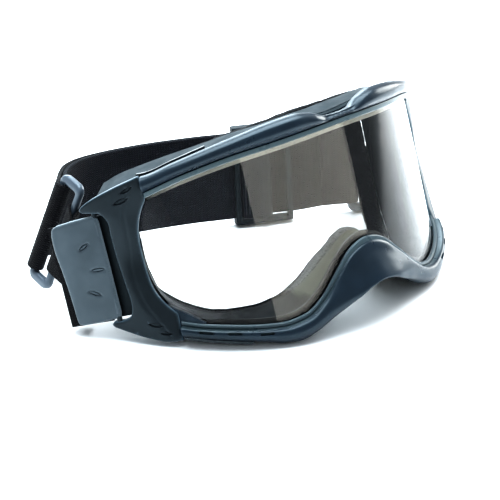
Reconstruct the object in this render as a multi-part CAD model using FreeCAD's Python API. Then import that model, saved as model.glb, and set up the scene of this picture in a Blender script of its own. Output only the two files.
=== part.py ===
import FreeCAD, Part
import math
import os

# Wide-view safety goggles. Millimetres, +Z up, +X to the side of the wearer's left eye, -Y is the front.
# The goggles are drawn upright in a lens frame: the origin is the front of the lens on the centre line,
# +Y goes back to the face and +Z goes up. They are then leaned back and set on the ground.
# On that frame a point of the front is (u, d, z): u is the arc length round the lens from the centre,
# d the distance in front of the lens's outer surface, z the height.

V = FreeCAD.Vector

# ---- driving dimensions ----
LENS_R = 96.0            # outer radius of the lens curve
LENS_T = 2.2             # lens thickness
WRAP_DEG = 54.4          # half angle of the lens arc; the ends run on straight
LEAN_DEG = 19.1          # how far the goggles lean back as they rest
DROP = 53.0              # height of the lens frame's origin above the ground, along the ground's normal
LIP_OVERLAP = 3.2        # how far the frame's lip covers the lens
LIP_GAP = 0.2            # clearance from lip to lens
FRAME_BACK = -3.4        # back of the front frame
POST_TOP = 0.4           # front of the hidden side posts
DECK_T = 1.4             # deck over the top vent: its thickness, and its back edge along d
DECK_BACK = -18.6
BRACKET_BACK = 0.7       # bracket plate, back and front faces
BRACKET_FRONT = 4.9
PIN_R = 1.1              # clip hinge pin
PIN_S = 21.6             # hinge pin: distance along the side from the end of the lens arc
PIN_D = 2.8
KNUCKLE_R = 2.0
RUN_FIT = 0.05           # radial clearance of a pin in its bore
CLIP_S = (19.9, 42.0)    # clip plate along the side
CLIP_Z = (-27.5, 18.0)
CLIP_D = (2.9, 4.8)
BAR_R = 1.1              # strap bar of the clip
BAR_S = 38.0
BAR_D = -3.5
RIVET_R = 1.2
STRAP_W = 41.0
STRAP_T = 1.8
BUCKLE_L = 50.0          # strap loop buckle, outside
BUCKLE_W = 15.0
BUCKLE_T = 3.0
BUCKLE_RAIL = 3.0        # width of its long bars
STRAP_GAP = 0.15         # half the gap between the strap's two layers
SLIDER_W = 28.0          # slider on the back of the strap: its length along the strap
SLIDER_RAIL = 3.0        # width of its bars
SLIDER_AT = 33.0         # its place along the strap's straight run
TAB_W = 30.4             # doubled webbing between the clip's strap bar and the buckle
TAB_T = 4.6
TAB_LAP = (2.2, 3.0)     # how far it reaches past the strap bar and past the buckle's bar
PEG_R = 1.5              # pegs that fix the bracket to the frame's posts
PEGS = ((6.0, 23.4), (6.0, -33.6))
WEB_S = (14.5, 22.4)      # web of the bracket behind the clip's knuckle
WEB_Z = (-27.0, 17.0)
WEB_D = (-0.5, 0.4)

ARC_END = LENS_R * math.radians(WRAP_DEG)
SIN_E = math.sin(math.radians(WRAP_DEG))
COS_E = math.cos(math.radians(WRAP_DEG))


# ---- small helpers ----
def smooth(*points):
    """A monotone cubic through hand-chosen (x, y) points, held level past both ends."""
    xs = [p[0] for p in points]
    ys = [p[1] for p in points]
    steps = [(ys[i + 1] - ys[i]) / (xs[i + 1] - xs[i]) for i in range(len(xs) - 1)]
    slopes = [0.0 if i in (0, len(xs) - 1) or steps[i - 1] * steps[i] <= 0
              else 2 * steps[i - 1] * steps[i] / (steps[i - 1] + steps[i]) for i in range(len(xs))]

    def value(x):
        x = min(max(x, xs[0]), xs[-1])
        i = max(k for k in range(len(xs) - 1) if xs[k] <= x)
        width = xs[i + 1] - xs[i]
        t = (x - xs[i]) / width
        return (ys[i] * (1 + 2 * t) * (1 - t) ** 2 + slopes[i] * width * t * (1 - t) ** 2
                + ys[i + 1] * t * t * (3 - 2 * t) + slopes[i + 1] * width * t * t * (t - 1))
    return value


def wrap(u, d, z):
    """The point d in front of the lens at arc length u and height z."""
    side = -1 if u < 0 else 1
    reach = abs(u)
    if reach <= ARC_END:
        angle = reach / LENS_R
        return V(side * (LENS_R + d) * math.sin(angle), LENS_R - (LENS_R + d) * math.cos(angle), z)
    s = reach - ARC_END
    return V(side * ((LENS_R + d) * SIN_E + s * COS_E), LENS_R - (LENS_R + d) * COS_E + s * SIN_E, z)


def spline(points):
    curve = Part.BSplineCurve()
    curve.interpolate(points)
    return curve.toShape()


def line(a, b):
    return Part.makeLine(a, b)


def cut_all(shape, tools):
    for tool in tools:
        shape = shape.cut(tool)
    return shape


def mirror_x(shape):
    return shape.mirror(V(0, 0, 0), V(1, 0, 0))


def stand(shape):
    """Lean a shape of the lens frame back and lift it onto the ground."""
    placed = shape.copy()
    placed.rotate(V(0, 0, 0), V(1, 0, 0), -LEAN_DEG)
    placed.translate(V(0, 0, DROP))
    return placed


def stand_point(p):
    """The same for one point."""
    c, s = math.cos(math.radians(LEAN_DEG)), math.sin(math.radians(LEAN_DEG))
    return V(p.x, p.y * c + p.z * s, p.z * c - p.y * s + DROP)


def frange(start, stop, count):
    return [start + (stop - start) * i / (count - 1) for i in range(count)]


# ---- outlines of the front, as height over arc length |u| ----
lip_top = smooth((0, 30.3), (12, 30.0), (31, 29.2), (49, 28.3), (70, 25.6), (90, 21.0), (100, 18.4))
crest = smooth((0, 35.0), (7, 35.4), (14, 38.4), (23, 40.0), (34, 39.4), (46, 37.9), (60, 35.8),
               (76, 32.8), (90, 30.0))
bulge_top = smooth((0, 2.9), (6, 3.0), (14, 4.8), (24, 5.6), (45, 5.3), (90, 4.8))
lip_low = smooth((0, -19.4), (5, -20.2), (10.4, -22.6), (17.3, -28.4), (28, -38.0), (35.7, -42.2),
                 (43.9, -43.2), (52.6, -42.1), (66.7, -39.0), (79.6, -35.6), (90, -32.0), (100, -28.0))
low_edge = smooth((0, -38.0), (6, -39.2), (12.2, -41.9), (22, -46.2), (31.5, -50.6), (40.5, -52.7),
                  (47.4, -51.8), (55, -49.2), (66, -46.0), (77.4, -42.8), (90, -39.6))
nose_blend = smooth((0, 1.0), (9, 0.86), (17, 0.5), (30, 0.0), (31, 0.0))

# the deck behind the upper rail: height of its front and back edges and of its back wall's foot, then the
# depth of its front edge
deck_front = smooth((0, 35.8), (14, 36.4), (34, 36.8), (48, 36.2), (62, 34.4), (75, 32.4), (88, 30.2),
                    (94, 29.1), (99.2, 27.7), (108, 25.3), (114, 23.3))
deck_back = smooth((0, 37.5), (9, 37.6), (18, 37.5), (28.4, 37.1), (39, 36.9), (48.3, 36.5), (58.5, 35.6),
                   (72, 34.5), (84.7, 33.2), (96.4, 31.5), (106, 29.6), (114, 27.0))
deck_leg = smooth((0, 34.1), (31, 33.0), (49, 32.1), (70, 29.7), (82, 28.0), (90, 27.5), (96, 26.8),
                  (108, 25.0), (114, 23.6))
deck_edge = smooth((0, -6.4), (93.5, -6.2), (99, -3.7), (114, -3.5))


def lens_outline(grow):
    """The lens's edge as (u, z) of its right half, from top centre to bottom centre, grown outward."""
    top = [(u, lip_top(u) + LIP_OVERLAP - 0.3 + grow) for u in (0, 15, 30, 45, 60, 75, 86)]
    end = [(ARC_END + 4.0 + grow, 18.5), (ARC_END + 7.6 + grow, 8.0), (ARC_END + 8.4 + grow, -2.0),
           (ARC_END + 7.8 + grow, -12.0), (ARC_END + 4.6 + grow, -22.0)]
    low = [(u, lip_low(u) - LIP_OVERLAP + 0.3 - grow) for u in (84, 74, 64, 54, 44, 36, 28, 20, 12, 6, 0)]
    return top + end + low


def band(back, front, run):
    """A wall of constant thickness round the lens curve, run past the arc ends, taller than the goggles."""
    reach = ARC_END + run
    inner, inner_mid, inner_far = (wrap(u, back, 0) for u in (-ARC_END, 0, ARC_END))
    outer, outer_mid, outer_far = (wrap(u, front, 0) for u in (-ARC_END, 0, ARC_END))
    inner_ends = wrap(-reach, back, 0), wrap(reach, back, 0)
    outer_ends = wrap(-reach, front, 0), wrap(reach, front, 0)
    edges = [line(inner_ends[0], inner), Part.Arc(inner, inner_mid, inner_far).toShape(),
             line(inner_far, inner_ends[1]), line(inner_ends[1], outer_ends[1]),
             line(outer_ends[1], outer_far), Part.Arc(outer_far, outer_mid, outer).toShape(),
             line(outer, outer_ends[0]), line(outer_ends[0], inner_ends[0])]
    wall = Part.Face(Part.Wire(edges)).extrude(V(0, 0, 120))
    wall.translate(V(0, 0, -65))
    return wall


def prism(outline):
    """A block through the goggles, front to back, with a smooth symmetric outline given as (u, z)."""
    right = [V(wrap(u, 0, 0).x, 0, z) for u, z in outline]
    left = [V(-p.x, 0, p.z) for p in reversed(right[1:-1])]
    curve = Part.BSplineCurve()
    curve.interpolate(right + left, PeriodicFlag=True)
    block = Part.Face(Part.Wire([curve.toShape()])).extrude(V(0, 140, 0))
    block.translate(V(0, -20, 0))
    return block


# ---- lens, seal and front frame ----
def lens():
    return band(-LENS_T, 0, 14).common(prism(lens_outline(0)))


def lens_seal():
    ring = band(-LENS_T - 1.0, -LENS_T - 0.05, 14).common(prism(lens_outline(-0.2)))
    return ring.cut(prism(lens_outline(-5.2)))


def top_rail_section(u):
    """Upper rail: a thin lip in front of the lens, a rounded bulge above it, and a flat back."""
    z, h, a = lip_top(abs(u)), crest(abs(u)) - lip_top(abs(u)), bulge_top(abs(u))
    shelf = z + LIP_OVERLAP
    lip = [(LIP_GAP, z + 0.3), (1.0, z - 0.1), (1.9, z + 0.4)]
    skin = [(2.1, z + 2.2), (2.7, z + 2.8), (a - 0.5, z + 0.45 * h), (a, z + 0.64 * h),
            (a - 0.9, z + 0.86 * h), (1.7, z + h), (-1.3, z + h - 0.2), (FRAME_BACK, z + h - 1.6)]
    return section_wire(u, lip, skin, shelf)


def low_rail_section(u):
    """Lower rail: round on the cheeks, and flared forward into a thin saddle over the nose."""
    z, nose = lip_low(abs(u)), nose_blend(abs(u))
    h = z - low_edge(abs(u))
    lip = [(LIP_GAP, z - 0.3), (1.0, z + 0.1), (1.9, z - 0.4)]
    cheek = [(2.4, z - 1.0), (4.7, z - 0.3 * h), (5.3, z - 0.55 * h), (4.6, z - 0.8 * h), (1.8, z - h),
             (-1.2, z - h + 0.3), (-3.1, z - 0.85 * h), (FRAME_BACK, z - 0.7 * h)]
    saddle = [(2.3, z - 1.0), (3.8, z - 0.3 * h), (5.9, z - 0.62 * h), (7.9, z - 0.88 * h), (8.4, z - h),
              (6.6, z - h + 0.5), (0.4, z - 0.55 * h), (FRAME_BACK, z - 0.38 * h)]
    skin = [(s[0] * nose + c[0] * (1 - nose), s[1] * nose + c[1] * (1 - nose))
            for s, c in zip(saddle, cheek)]
    return section_wire(u, lip, skin, z - LIP_OVERLAP)


def section_wire(u, lip, skin, shelf):
    """A closed rail section: up the lip, round the skin, down the back, along the shelf over the lens."""
    lip_points = [wrap(u, d, z) for d, z in lip]
    skin_points = [wrap(u, d, z) for d, z in skin]
    back, front = wrap(u, FRAME_BACK, shelf), wrap(u, LIP_GAP, shelf)
    return Part.Wire([line(front, lip_points[0]), spline(lip_points),
                      line(lip_points[-1], skin_points[0]), spline(skin_points),
                      line(skin_points[-1], back), line(back, front)])


def side_posts():
    """The frame's hidden ends, behind the brackets, that tie the two rails together."""
    inner = lens_outline(0.3)
    outer = [(ARC_END - 16, lip_top(75) + 8.0), (ARC_END - 4, 28.6), (ARC_END + 8, 25.8),
             (ARC_END + 12.5, 17), (ARC_END + 13.4, 0), (ARC_END + 12, -14), (ARC_END + 10, -28),
             (ARC_END, -37.4), (ARC_END - 10, -41.2)]
    block = Part.Face(Part.makePolygon([V(wrap(u, 0, 0).x, 0, z) for u, z in outer + outer[:1]]))
    block = block.extrude(V(0, 140, 0))
    block.translate(V(0, -20, 0))
    post = band(FRAME_BACK + 0.5, POST_TOP, 16).common(block).cut(prism(inner))
    return post.fuse(mirror_x(post))


def vent_slots():
    """Three drain slots through each cheek of the lower rail."""
    slots = []
    for u in (54.0, 66.5, 77.5):
        z = (lip_low(u) + low_edge(u)) / 2 + 0.4
        slope = math.degrees(math.atan2(lip_low(u + 2) - lip_low(u - 2), 4))
        slot = Part.makeBox(4.4, 6, 1.4, V(-2.2, -3, -0.7))
        for x in (-2.2, 2.2):
            slot = slot.fuse(Part.makeCylinder(0.7, 6, V(x, -3, 0), V(0, 1, 0)))
        slot.rotate(V(0, 0, 0), V(0, 1, 0), -slope)
        slot.rotate(V(0, 0, 0), V(0, 0, 1), math.degrees(u / LENS_R))
        slot.translate(wrap(u, 4.0, z))
        slots += [slot, mirror_x(slot)]
    return slots


def front_frame():
    top = Part.makeLoft([top_rail_section(u) for u in frange(-ARC_END + 1.3, ARC_END - 1.3, 37)], True)
    low = Part.makeLoft([low_rail_section(u) for u in frange(-ARC_END + 4.0, ARC_END - 4.0, 49)], True)
    frame = low.fuse(side_posts()).fuse(top)
    lens_room = band(FRAME_BACK - 1.0, LIP_GAP - 0.05, 14).common(prism(lens_outline(0.25)))
    return cut_all(frame, [lens_room] + vent_slots())


# ---- soft body behind the lens ----
def ring_stations():
    """Right half of the soft body, top centre to bottom centre.

    Each row is the arc length and height at the lens, the depth, the height at the back, how far the wall
    has flared along the side by then, and the outward direction.
    """
    rows = [(u, lip_top(u) + 1.2, 20.0, lip_top(u) + 2.0, flare, 0.0, 1.0)
            for u, flare in ((0, 0), (14, 0), (28, 0), (42, 0), (56, 0), (70, 0.5), (82, 2.0))]
    rows += [(ARC_END + 1.5, 18.5, 19.5, 20.0, 4.0, 0.55, 0.83),
             (ARC_END + 6.2, 9.0, 19.0, 9.0, 5.0, 1.0, 0.15),
             (ARC_END + 6.8, -2.0, 19.0, -3.0, 5.0, 1.0, 0.0),
             (ARC_END + 6.2, -12.0, 19.0, -14.0, 5.0, 1.0, -0.1),
             (ARC_END + 2.0, -23.5, 19.5, -26.0, 4.5, 0.7, -0.7)]
    depth = smooth((0, 8.5), (8, 9.5), (16, 13.0), (28, 18.0), (40, 20.0), (90, 20.0))
    rear = smooth((0, -16.6), (7, -18.6), (14, -24.0), (24, -31.6), (36, -37.1), (52, -38.8), (70, -37.8),
                  (90, -33.4))
    rows += [(u, lip_low(u) - 1.2, depth(u), rear(u), flare, 0.0, -1.0)
             for u, flare in ((82, 2.2), (72, 0.6), (62, 0), (52, 0), (43, 0), (36, 0), (29, 0), (22, 0),
                              (16, 0), (10, 0), (5, 0), (0, 0))]
    return rows


def ring_section(station, corners):
    """The soft body's section at a station, with its corners given as (d, distance outward)."""
    u, z, depth, back_z, flare, out_u, out_z = station
    section = []
    for d, out in corners:
        share = (-3.5 - d) / (depth - 3.5)
        height = z + (back_z - z) * min(share, 1.0)
        section.append(wrap(u + flare * share + out * out_u, d, height + out * out_z))
    return section


def loop_loft(sections):
    """A closed ring through sections given for the right half, top centre to bottom centre."""
    right = [[V(p.x, p.y, p.z) for p in s] for s in sections]
    left = [[V(-p.x, p.y, p.z) for p in s] for s in reversed(right[1:-1])]
    wires = [Part.makePolygon(s + s[:1]) for s in right + left]
    return Part.makeLoft(wires, True, False, True)


def face_skirt():
    """Soft wall from behind the lens back to the face, with a front flange that presses on the seal."""
    wall, flange = 1.6, 2.2
    sections = []
    for station in ring_stations():
        depth = station[2]
        corners = [(-3.5, 0.0), (-depth, 0.0), (-depth, wall), (-5.4, wall), (-5.4, flange), (-3.5, flange)]
        sections.append(ring_section(station, corners))
    return loop_loft(sections)


def face_foam():
    """Foam pad on the back of the skirt, that rests on the face."""
    sections = []
    for station in ring_stations():
        depth, out_z = station[2], station[-1]
        inside, outside = -0.4, 6.0
        if out_z < -0.5:
            inside, outside = smooth((9, -1.2), (18, 0.6))(depth), 3.2
        front, back = -depth - 0.1, -depth - (8.5 if depth > 12 else 6.5)
        corners = [(front, inside), (back, inside + 0.6), (back, outside - 0.8), (front, outside)]
        sections.append(ring_section(station, corners))
    return loop_loft(sections)


def deck_loft(section, reach, count):
    """A solid through a section, drawn as (d, z) corners, at stations along the top of the goggles."""
    wires = []
    for u in frange(-reach, reach, count):
        points = [wrap(u, d, z) for d, z in section(abs(u))]
        wires.append(Part.makePolygon(points + points[:1]))
    return Part.makeLoft(wires, True)


def deck_section(u):
    """Deck plate from behind the upper rail to the face, with a wall down to the skirt along its back."""
    front, back, leg, edge = deck_front(u), deck_back(u), deck_leg(u), deck_edge(u)
    return [(edge, front - DECK_T), (edge, front), (DECK_BACK, back), (DECK_BACK, leg),
            (DECK_BACK + 1.3, leg), (DECK_BACK + 1.3, back - DECK_T - 0.1)]


def top_vent_cover():
    """Deck over the top vent, run back over the temples; air enters along the gap behind the upper rail."""
    return deck_loft(deck_section, 113, 47)


def top_vent_foam():
    """Filter foam between the skirt's top and the deck."""
    def section(u):
        top, low = DECK_T + 0.45, lip_top(u) + 3.0
        return [(-6.6, low), (-6.6, deck_front(u) - top), (-17.1, deck_back(u) - top), (-17.1, low + 0.8)]
    return deck_loft(section, 70, 21)


def low_vent_foam():
    """Filter foam behind the drain slots of the right cheek."""
    sections = []
    for u in frange(50, 82, 9):
        z = lip_low(u)
        corners = [(-3.6, z - 7.4), (-3.6, z - 3.7), (-5.2, z - 3.9), (-5.2, z - 7.0)]
        points = [wrap(u, d, h) for d, h in corners]
        sections.append(Part.makePolygon(points + points[:1]))
    return Part.makeLoft(sections, True)


# ---- side bracket and strap clip: drawn as x = back along the flat side, y = outward, z = up ----
def on_side(shape):
    """Put a shape drawn with those axes onto the goggles' right-hand temple, the one at -X."""
    placed = shape.copy()
    placed.rotate(V(0, 0, 0), V(0, 0, 1), 180 - WRAP_DEG)
    placed.translate(wrap(-ARC_END, 0, 0))
    return placed


def side_point(s, d, z):
    return wrap(-(ARC_END + s), d, z)


def plate(edges, back, front):
    """A plate between two depths whose outline is a list of edges, each a list of (s, z) points."""
    curves = []
    for edge in edges:
        points = [V(s, back, z) for s, z in edge]
        curves.append(spline(points) if len(points) > 2 else line(*points))
    return Part.Face(Part.Wire(curves)).extrude(V(0, front - back, 0))


def rounded_plate(s_range, z_range, d_range, radius):
    (s0, s1), (z0, z1), (back, front) = s_range, z_range, d_range
    thick = front - back
    body = Part.makeBox(s1 - s0 - 2 * radius, thick, z1 - z0, V(s0 + radius, back, z0))
    body = body.fuse(Part.makeBox(s1 - s0, thick, z1 - z0 - 2 * radius, V(s0, back, z0 + radius)))
    for s in (s0 + radius, s1 - radius):
        for z in (z0 + radius, z1 - radius):
            body = body.fuse(Part.makeCylinder(radius, thick, V(s, back, z), V(0, 1, 0)))
    return body.removeSplitter()


def upright(radius, s, d, z0, z1):
    return Part.makeCylinder(radius, z1 - z0, V(s, d, z0), V(0, 0, 1))


def soften(shape, radius, depth):
    """Round the edges of a plate's outer face, if the outline takes it."""
    edges = [e for e in shape.Edges if all(abs(v.Point.y - depth) < 1e-4 for v in e.Vertexes)
             and abs(e.CenterOfMass.y - depth) < 1e-4]
    try:
        rounded = shape.makeFillet(radius, edges)
    except Part.OCCError:
        return shape
    return rounded if rounded.isValid() else shape


BRACKET_LENS_EDGE = [(-1.0, 20.4), (2.7, 14.2), (4.8, 7.8), (5.6, -1.7), (5.2, -11.9), (3.6, -19.2),
                     (0.2, -25.2), (-3.3, -29.6)]
BRACKET_OUTLINE = [
    BRACKET_LENS_EDGE,
    [(-3.3, -29.6), (-3.3, -41.0)],
    [(-3.3, -41.0), (3.5, -39.9), (10.5, -37.3), (18.0, -33.8), (23.8, -30.6)],
    [(23.8, -30.6), (25.0, -29.2), (24.0, -28.0)],
    [(24.0, -28.0), (19.0, -28.0), (15.9, -26.6), (14.6, -22.0), (15.5, -10.6), (16.5, -0.6),
     (16.5, 8.3), (16.3, 14.0), (18.4, 17.9), (22.0, 19.0), (26.0, 19.6)],
    [(26.0, 19.6), (27.4, 20.8), (26.2, 22.4)],
    [(26.2, 22.4), (22.6, 24.2), (16.7, 26.2), (8.1, 28.6), (-0.6, 30.6)],
    [(-0.6, 30.6), (-1.0, 20.4)],
]


def side_bracket():
    """C-shaped bracket that clasps the end of the frame and carries the clip's hinge pin."""
    body = soften(plate(BRACKET_OUTLINE, BRACKET_BACK, BRACKET_FRONT), 0.9, BRACKET_FRONT)
    body = body.cut(upright(PIN_R, PIN_S, PIN_D, -40, 40)).fuse(hinge_web())
    for s, z in PEGS:
        body = body.fuse(Part.makeCylinder(PEG_R, BRACKET_BACK + 4.2, V(s, -4.2, z), V(0, 1, 0)))
    return body


def hinge_web():
    """Thin web of the bracket that closes the gap behind the clip's knuckle."""
    low, high = WEB_Z
    rib = Part.makeBox(1.2, 1.0 - WEB_D[0], high - low, V(WEB_S[0], WEB_D[0], low))
    sheet = Part.makeBox(WEB_S[1] - WEB_S[0], WEB_D[1] - WEB_D[0], high - low, V(WEB_S[0], WEB_D[0], low))
    return rib.fuse(sheet)


def bracket_pegs():
    """The bores in the frame's posts that take the bracket's two pegs."""
    return [Part.makeCylinder(PEG_R + RUN_FIT, 12, V(s, -8, z), V(0, 1, 0)) for s, z in PEGS]


def tongue(first, last, height, low, high, back, front):
    """A long tongue of the bracket that runs along a rail, from low to high beside its edge curve."""
    sections = []
    for u in frange(first, last, 9):
        z = height(u)
        corners = [(front, z + low), (front, z + high), (back, z + high), (back, z + low)]
        points = [wrap(-u, d, h) for d, h in corners]
        sections.append(Part.makePolygon(points + points[:1]))
    return Part.makeLoft(sections, True)


def clip_plate():
    """Outer plate of the strap clip, with its hinge knuckle and three eye-shaped slits."""
    body = rounded_plate(CLIP_S, CLIP_Z, CLIP_D, 3.4)
    body = soften(body, 1.2, CLIP_D[1])
    knuckle_z = (CLIP_Z[0] + 2.6, CLIP_Z[1] - 2.6)
    body = body.fuse(upright(KNUCKLE_R, PIN_S, PIN_D, *knuckle_z))
    body = body.cut(upright(PIN_R + RUN_FIT, PIN_S, PIN_D, -40, 40))
    for s, z, tilt in ((29.4, 6.0, 24), (25.9, -4.6, 0), (29.0, -14.8, -31)):
        eye = Part.makeCylinder(4.2, 1, V(0, 0, -3.5), V(0, 1, 0)).common(
            Part.makeCylinder(4.2, 1, V(0, 0, 3.5), V(0, 1, 0)))
        eye.rotate(V(0, 0, 0), V(0, 1, 0), tilt)
        eye.translate(V(s, CLIP_D[1] - 0.7, z))
        body = body.cut(eye)
    return cut_all(body, clip_rivets())


def clip_liner():
    """Webbing liner under the clip plate; it stands a little proud at the back and below."""
    liner = rounded_plate((24.2, CLIP_S[1] + 1.2), (CLIP_Z[0] - 0.4, CLIP_Z[1] - 2.0),
                          (1.3, CLIP_D[0] - 0.02), 2.0)
    return cut_all(liner, clip_rivets())


def clip_back():
    """Inner plate of the clip, with two lugs that hold the strap bar."""
    body = rounded_plate((24.6, CLIP_S[1] - 1.0), (CLIP_Z[0] + 0.6, CLIP_Z[1] - 3.0), (0.1, 1.28), 2.0)
    for z in (CLIP_Z[0] + 0.6, CLIP_Z[1] - 4.6):
        lug = Part.makeBox(5.6, 5.5, 2.0, V(BAR_S - 2.8, BAR_D - 1.9, z))
        body = body.fuse(lug)
    return cut_all(body, [upright(BAR_R, BAR_S, BAR_D, -60, 60)] + clip_rivets())


def clip_rivets():
    """Four rivets that hold the clip's plates and liner together."""
    return [Part.makeCylinder(RIVET_R, 3.5, V(s, 0.1, z), V(0, 1, 0))
            for s in (28.0, 33.6) for z in (-22.0, 11.0)]


# ---- strap, buckles and slider: drawn where they stand, z = 0 is the ground ----
RIGHT_BUCKLE = (V(-91.0, 82.8, DROP - 21.2), V(0.31, -0.165, 0.936), V(0.10, 0.975, 0.14))
LEFT_BUCKLE = (V(80.8, 64.6, DROP - 28.1), V(0.083, 0.163, 0.983), V(-0.888, 0.460, 0.0))


def buckle_frame(side):
    """Origin on the clip-side bar's middle, and unit vectors along the bar, across and through the loop."""
    origin, along, across = side
    along = V(along).normalize()
    through = along.cross(across).normalize()
    across = through.cross(along)
    return origin, along, across, through


def buckle_placement(side):
    """Puts a shape drawn with x along the bar, y across the loop and z through it where the buckle is."""
    origin, a, b, c = buckle_frame(side)
    return FreeCAD.Placement(FreeCAD.Matrix(a.x, b.x, c.x, origin.x, a.y, b.y, c.y, origin.y,
                                            a.z, b.z, c.z, origin.z, 0, 0, 0, 1))


def buckle(side):
    """Rectangular strap loop with rounded ends."""
    half, rail = BUCKLE_L / 2, BUCKLE_RAIL
    loop = Part.makeBox(BUCKLE_L, BUCKLE_W, BUCKLE_T, V(-half, -rail / 2, -BUCKLE_T / 2))
    window = Part.makeBox(BUCKLE_L - 7.0, BUCKLE_W - 2 * rail, 10, V(-half + 3.5, rail / 2, -5))
    upright_edges = [e for e in loop.Edges if abs(e.Vertexes[0].Z - e.Vertexes[-1].Z) > 1]
    loop = loop.makeFillet(2.6, upright_edges).cut(window)
    loop = loop.makeFillet(1.0, [e for e in loop.Edges if e.BoundBox.ZLength < 1e-3])
    placed = loop.copy()
    placed.Placement = buckle_placement(side)
    return placed


def ribbon(stations, thick):
    """Webbing through stations (point on the lower edge, point on the upper edge, unit normal)."""
    wires = []
    for low, high, normal in stations:
        half = V(normal) * (thick / 2)
        wires.append(Part.makePolygon([low - half, low + half, high + half, high - half, low - half]))
    return Part.makeLoft(wires, True)


def bar_loop(side):
    """Webbing turned round the far bar of a buckle, open towards the strap."""
    origin, along, across = buckle_frame(side)[:3]
    centre = origin + across * (BUCKLE_W - BUCKLE_RAIL)
    inner = BUCKLE_RAIL / 2 + 0.45
    half = along * ((STRAP_W - 0.6) / 2)
    ring = Part.makeCylinder(inner + STRAP_T, STRAP_W - 0.6, centre - half, along)
    return ring.cut(Part.makeCylinder(inner, STRAP_W, centre - half * 1.01, along))


def webbing_tab(side, bar_low, bar_high):
    """Doubled webbing from round the clip's strap bar to round the near bar of the buckle."""
    origin, along = buckle_frame(side)[:2]
    middle = (bar_low + bar_high) * 0.5
    bar_dir = (bar_high - bar_low).normalize()
    half = TAB_W / 2
    run = (origin - middle).normalize()
    stations = []
    for t in frange(0.0, 1.0, 6):
        centre = (middle - run * TAB_LAP[0]) * (1 - t) + (origin + run * TAB_LAP[1]) * t
        direction = (bar_dir * (1 - t) + along * t).normalize()
        normal = direction.cross(run).normalize()
        stations.append((centre - direction * half, centre + direction * half, normal))
    tab = ribbon(stations, TAB_T)
    tab = tab.cut(Part.makeCylinder(BAR_R + 0.3, 80, middle - bar_dir * 40, bar_dir))
    bar_box = Part.makeBox(BUCKLE_L, BUCKLE_RAIL + 0.3, BUCKLE_T + 0.3,
                           V(-BUCKLE_L / 2, -BUCKLE_RAIL / 2 - 0.15, -BUCKLE_T / 2 - 0.15))
    bar_box.Placement = buckle_placement(side)
    return tab.cut(bar_box)


# The strap's route, as (lower edge, upper edge). It leans back like the goggles, hangs from the left-hand
# buckle, and runs straight where the slider travels, down to the right-hand buckle.
STRAIGHT_LOW = (V(0.0, 101.8, 3.5), V(56.0, 72.8, 3.5))
STRAIGHT_LEAN = V(3.4, 6.7, 40.3)
ROUTE_TO_RIGHT = [(V(-93.4, 102.4, 13.6), V(-80.6, 95.4, 51.9)),
                  (V(-84.0, 110.2, 10.6), V(-72.2, 106.6, 49.8)),
                  (V(-71.0, 115.0, 7.4), V(-62.4, 115.6, 47.6)),
                  (V(-56.0, 117.0, 5.2), V(-51.2, 120.6, 45.8))]
MIDDLE_ROUTE = [(V(-40.0, 115.8, 4.0), V(-37.0, 121.4, 44.5)),
                (V(-21.0, 110.4, 3.6), V(-18.2, 117.2, 44.0))]


def straight_row(t):
    """A row of the route on the straight run: t = 0 at its left end, 1 at its right end."""
    low = STRAIGHT_LOW[0] * (1 - t) + STRAIGHT_LOW[1] * t
    return low, low + STRAIGHT_LEAN


def row_between(t):
    """A row of the route between the middle's first row, t = 0, and the right-hand run's last, t = 1."""
    return tuple(a * (1 - t) + b * t for a, b in zip(MIDDLE_ROUTE[0], ROUTE_TO_RIGHT[-1]))


BACK_ROUTE = [row_between(0.98)] + MIDDLE_ROUTE + [straight_row(t) for t in (0.0, 0.33, 0.67, 1.0)]
RETURN_END = (SLIDER_AT - 6.9) / (STRAIGHT_LOW[1] - STRAIGHT_LOW[0]).Length
RETURN_ROUTE = [row_between(0.92)] + MIDDLE_ROUTE
RETURN_ROUTE += [straight_row(t) for t in (0.0, RETURN_END / 2, RETURN_END)]
ROUTE_TO_LEFT = [straight_row(t) for t in (1.005, 1.07, 1.14)]


def layer(route, inner, outer):
    """The strap's band along a route, from inner to outer, measured forward of the route."""
    stations = []
    for i, (low, high) in enumerate(route):
        before, after = route[max(i - 1, 0)], route[min(i + 1, len(route) - 1)]
        run = (after[0] + after[1] - before[0] - before[1]).normalize()
        across = (high - low).normalize()
        normal = run.cross(across).normalize()
        middle = (low + high) * 0.5 + normal * ((inner + outer) / 2)
        stations.append((middle - across * (STRAP_W / 2), middle + across * (STRAP_W / 2), normal))
    return ribbon(stations, outer - inner)


def slider_placement():
    """Puts a shape drawn with x along the strap, y up it and z forward at the slider's place."""
    run = (STRAIGHT_LOW[1] - STRAIGHT_LOW[0]).normalize()
    up = V(STRAIGHT_LEAN).normalize()
    out = run.cross(up)
    p = STRAIGHT_LOW[0] + run * SLIDER_AT + STRAIGHT_LEAN * 0.5
    return FreeCAD.Placement(FreeCAD.Matrix(run.x, up.x, out.x, p.x, run.y, up.y, out.y, p.y,
                                            run.z, up.z, out.z, p.z, 0, 0, 0, 1))


def strap_slider():
    """Three-bar slider: two end caps, two outer bars and a middle bar in front of the band."""
    half = STRAP_W / 2 + 0.5
    bar_back, bar_front = 2 * STRAP_GAP + STRAP_T + 0.2, 4.0
    body = None
    for sign in (-1, 1):
        start = half if sign > 0 else -half - 2.4
        cap = Part.makeBox(SLIDER_W, 2.4, bar_front + 2.6, V(-SLIDER_W / 2, start, -2.6))
        cap = cap.makeFillet(1.0, [e for e in cap.Edges if e.BoundBox.YLength > 2])
        body = cap if body is None else body.fuse(cap)
    for x in (-SLIDER_W / 2, -SLIDER_RAIL / 2, SLIDER_W / 2 - SLIDER_RAIL):
        rail = Part.makeBox(SLIDER_RAIL, 2 * half + 1, bar_front - bar_back, V(x, -half - 0.5, bar_back))
        body = body.fuse(rail)
    body = body.removeSplitter()
    body.Placement = slider_placement()
    return body


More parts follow.
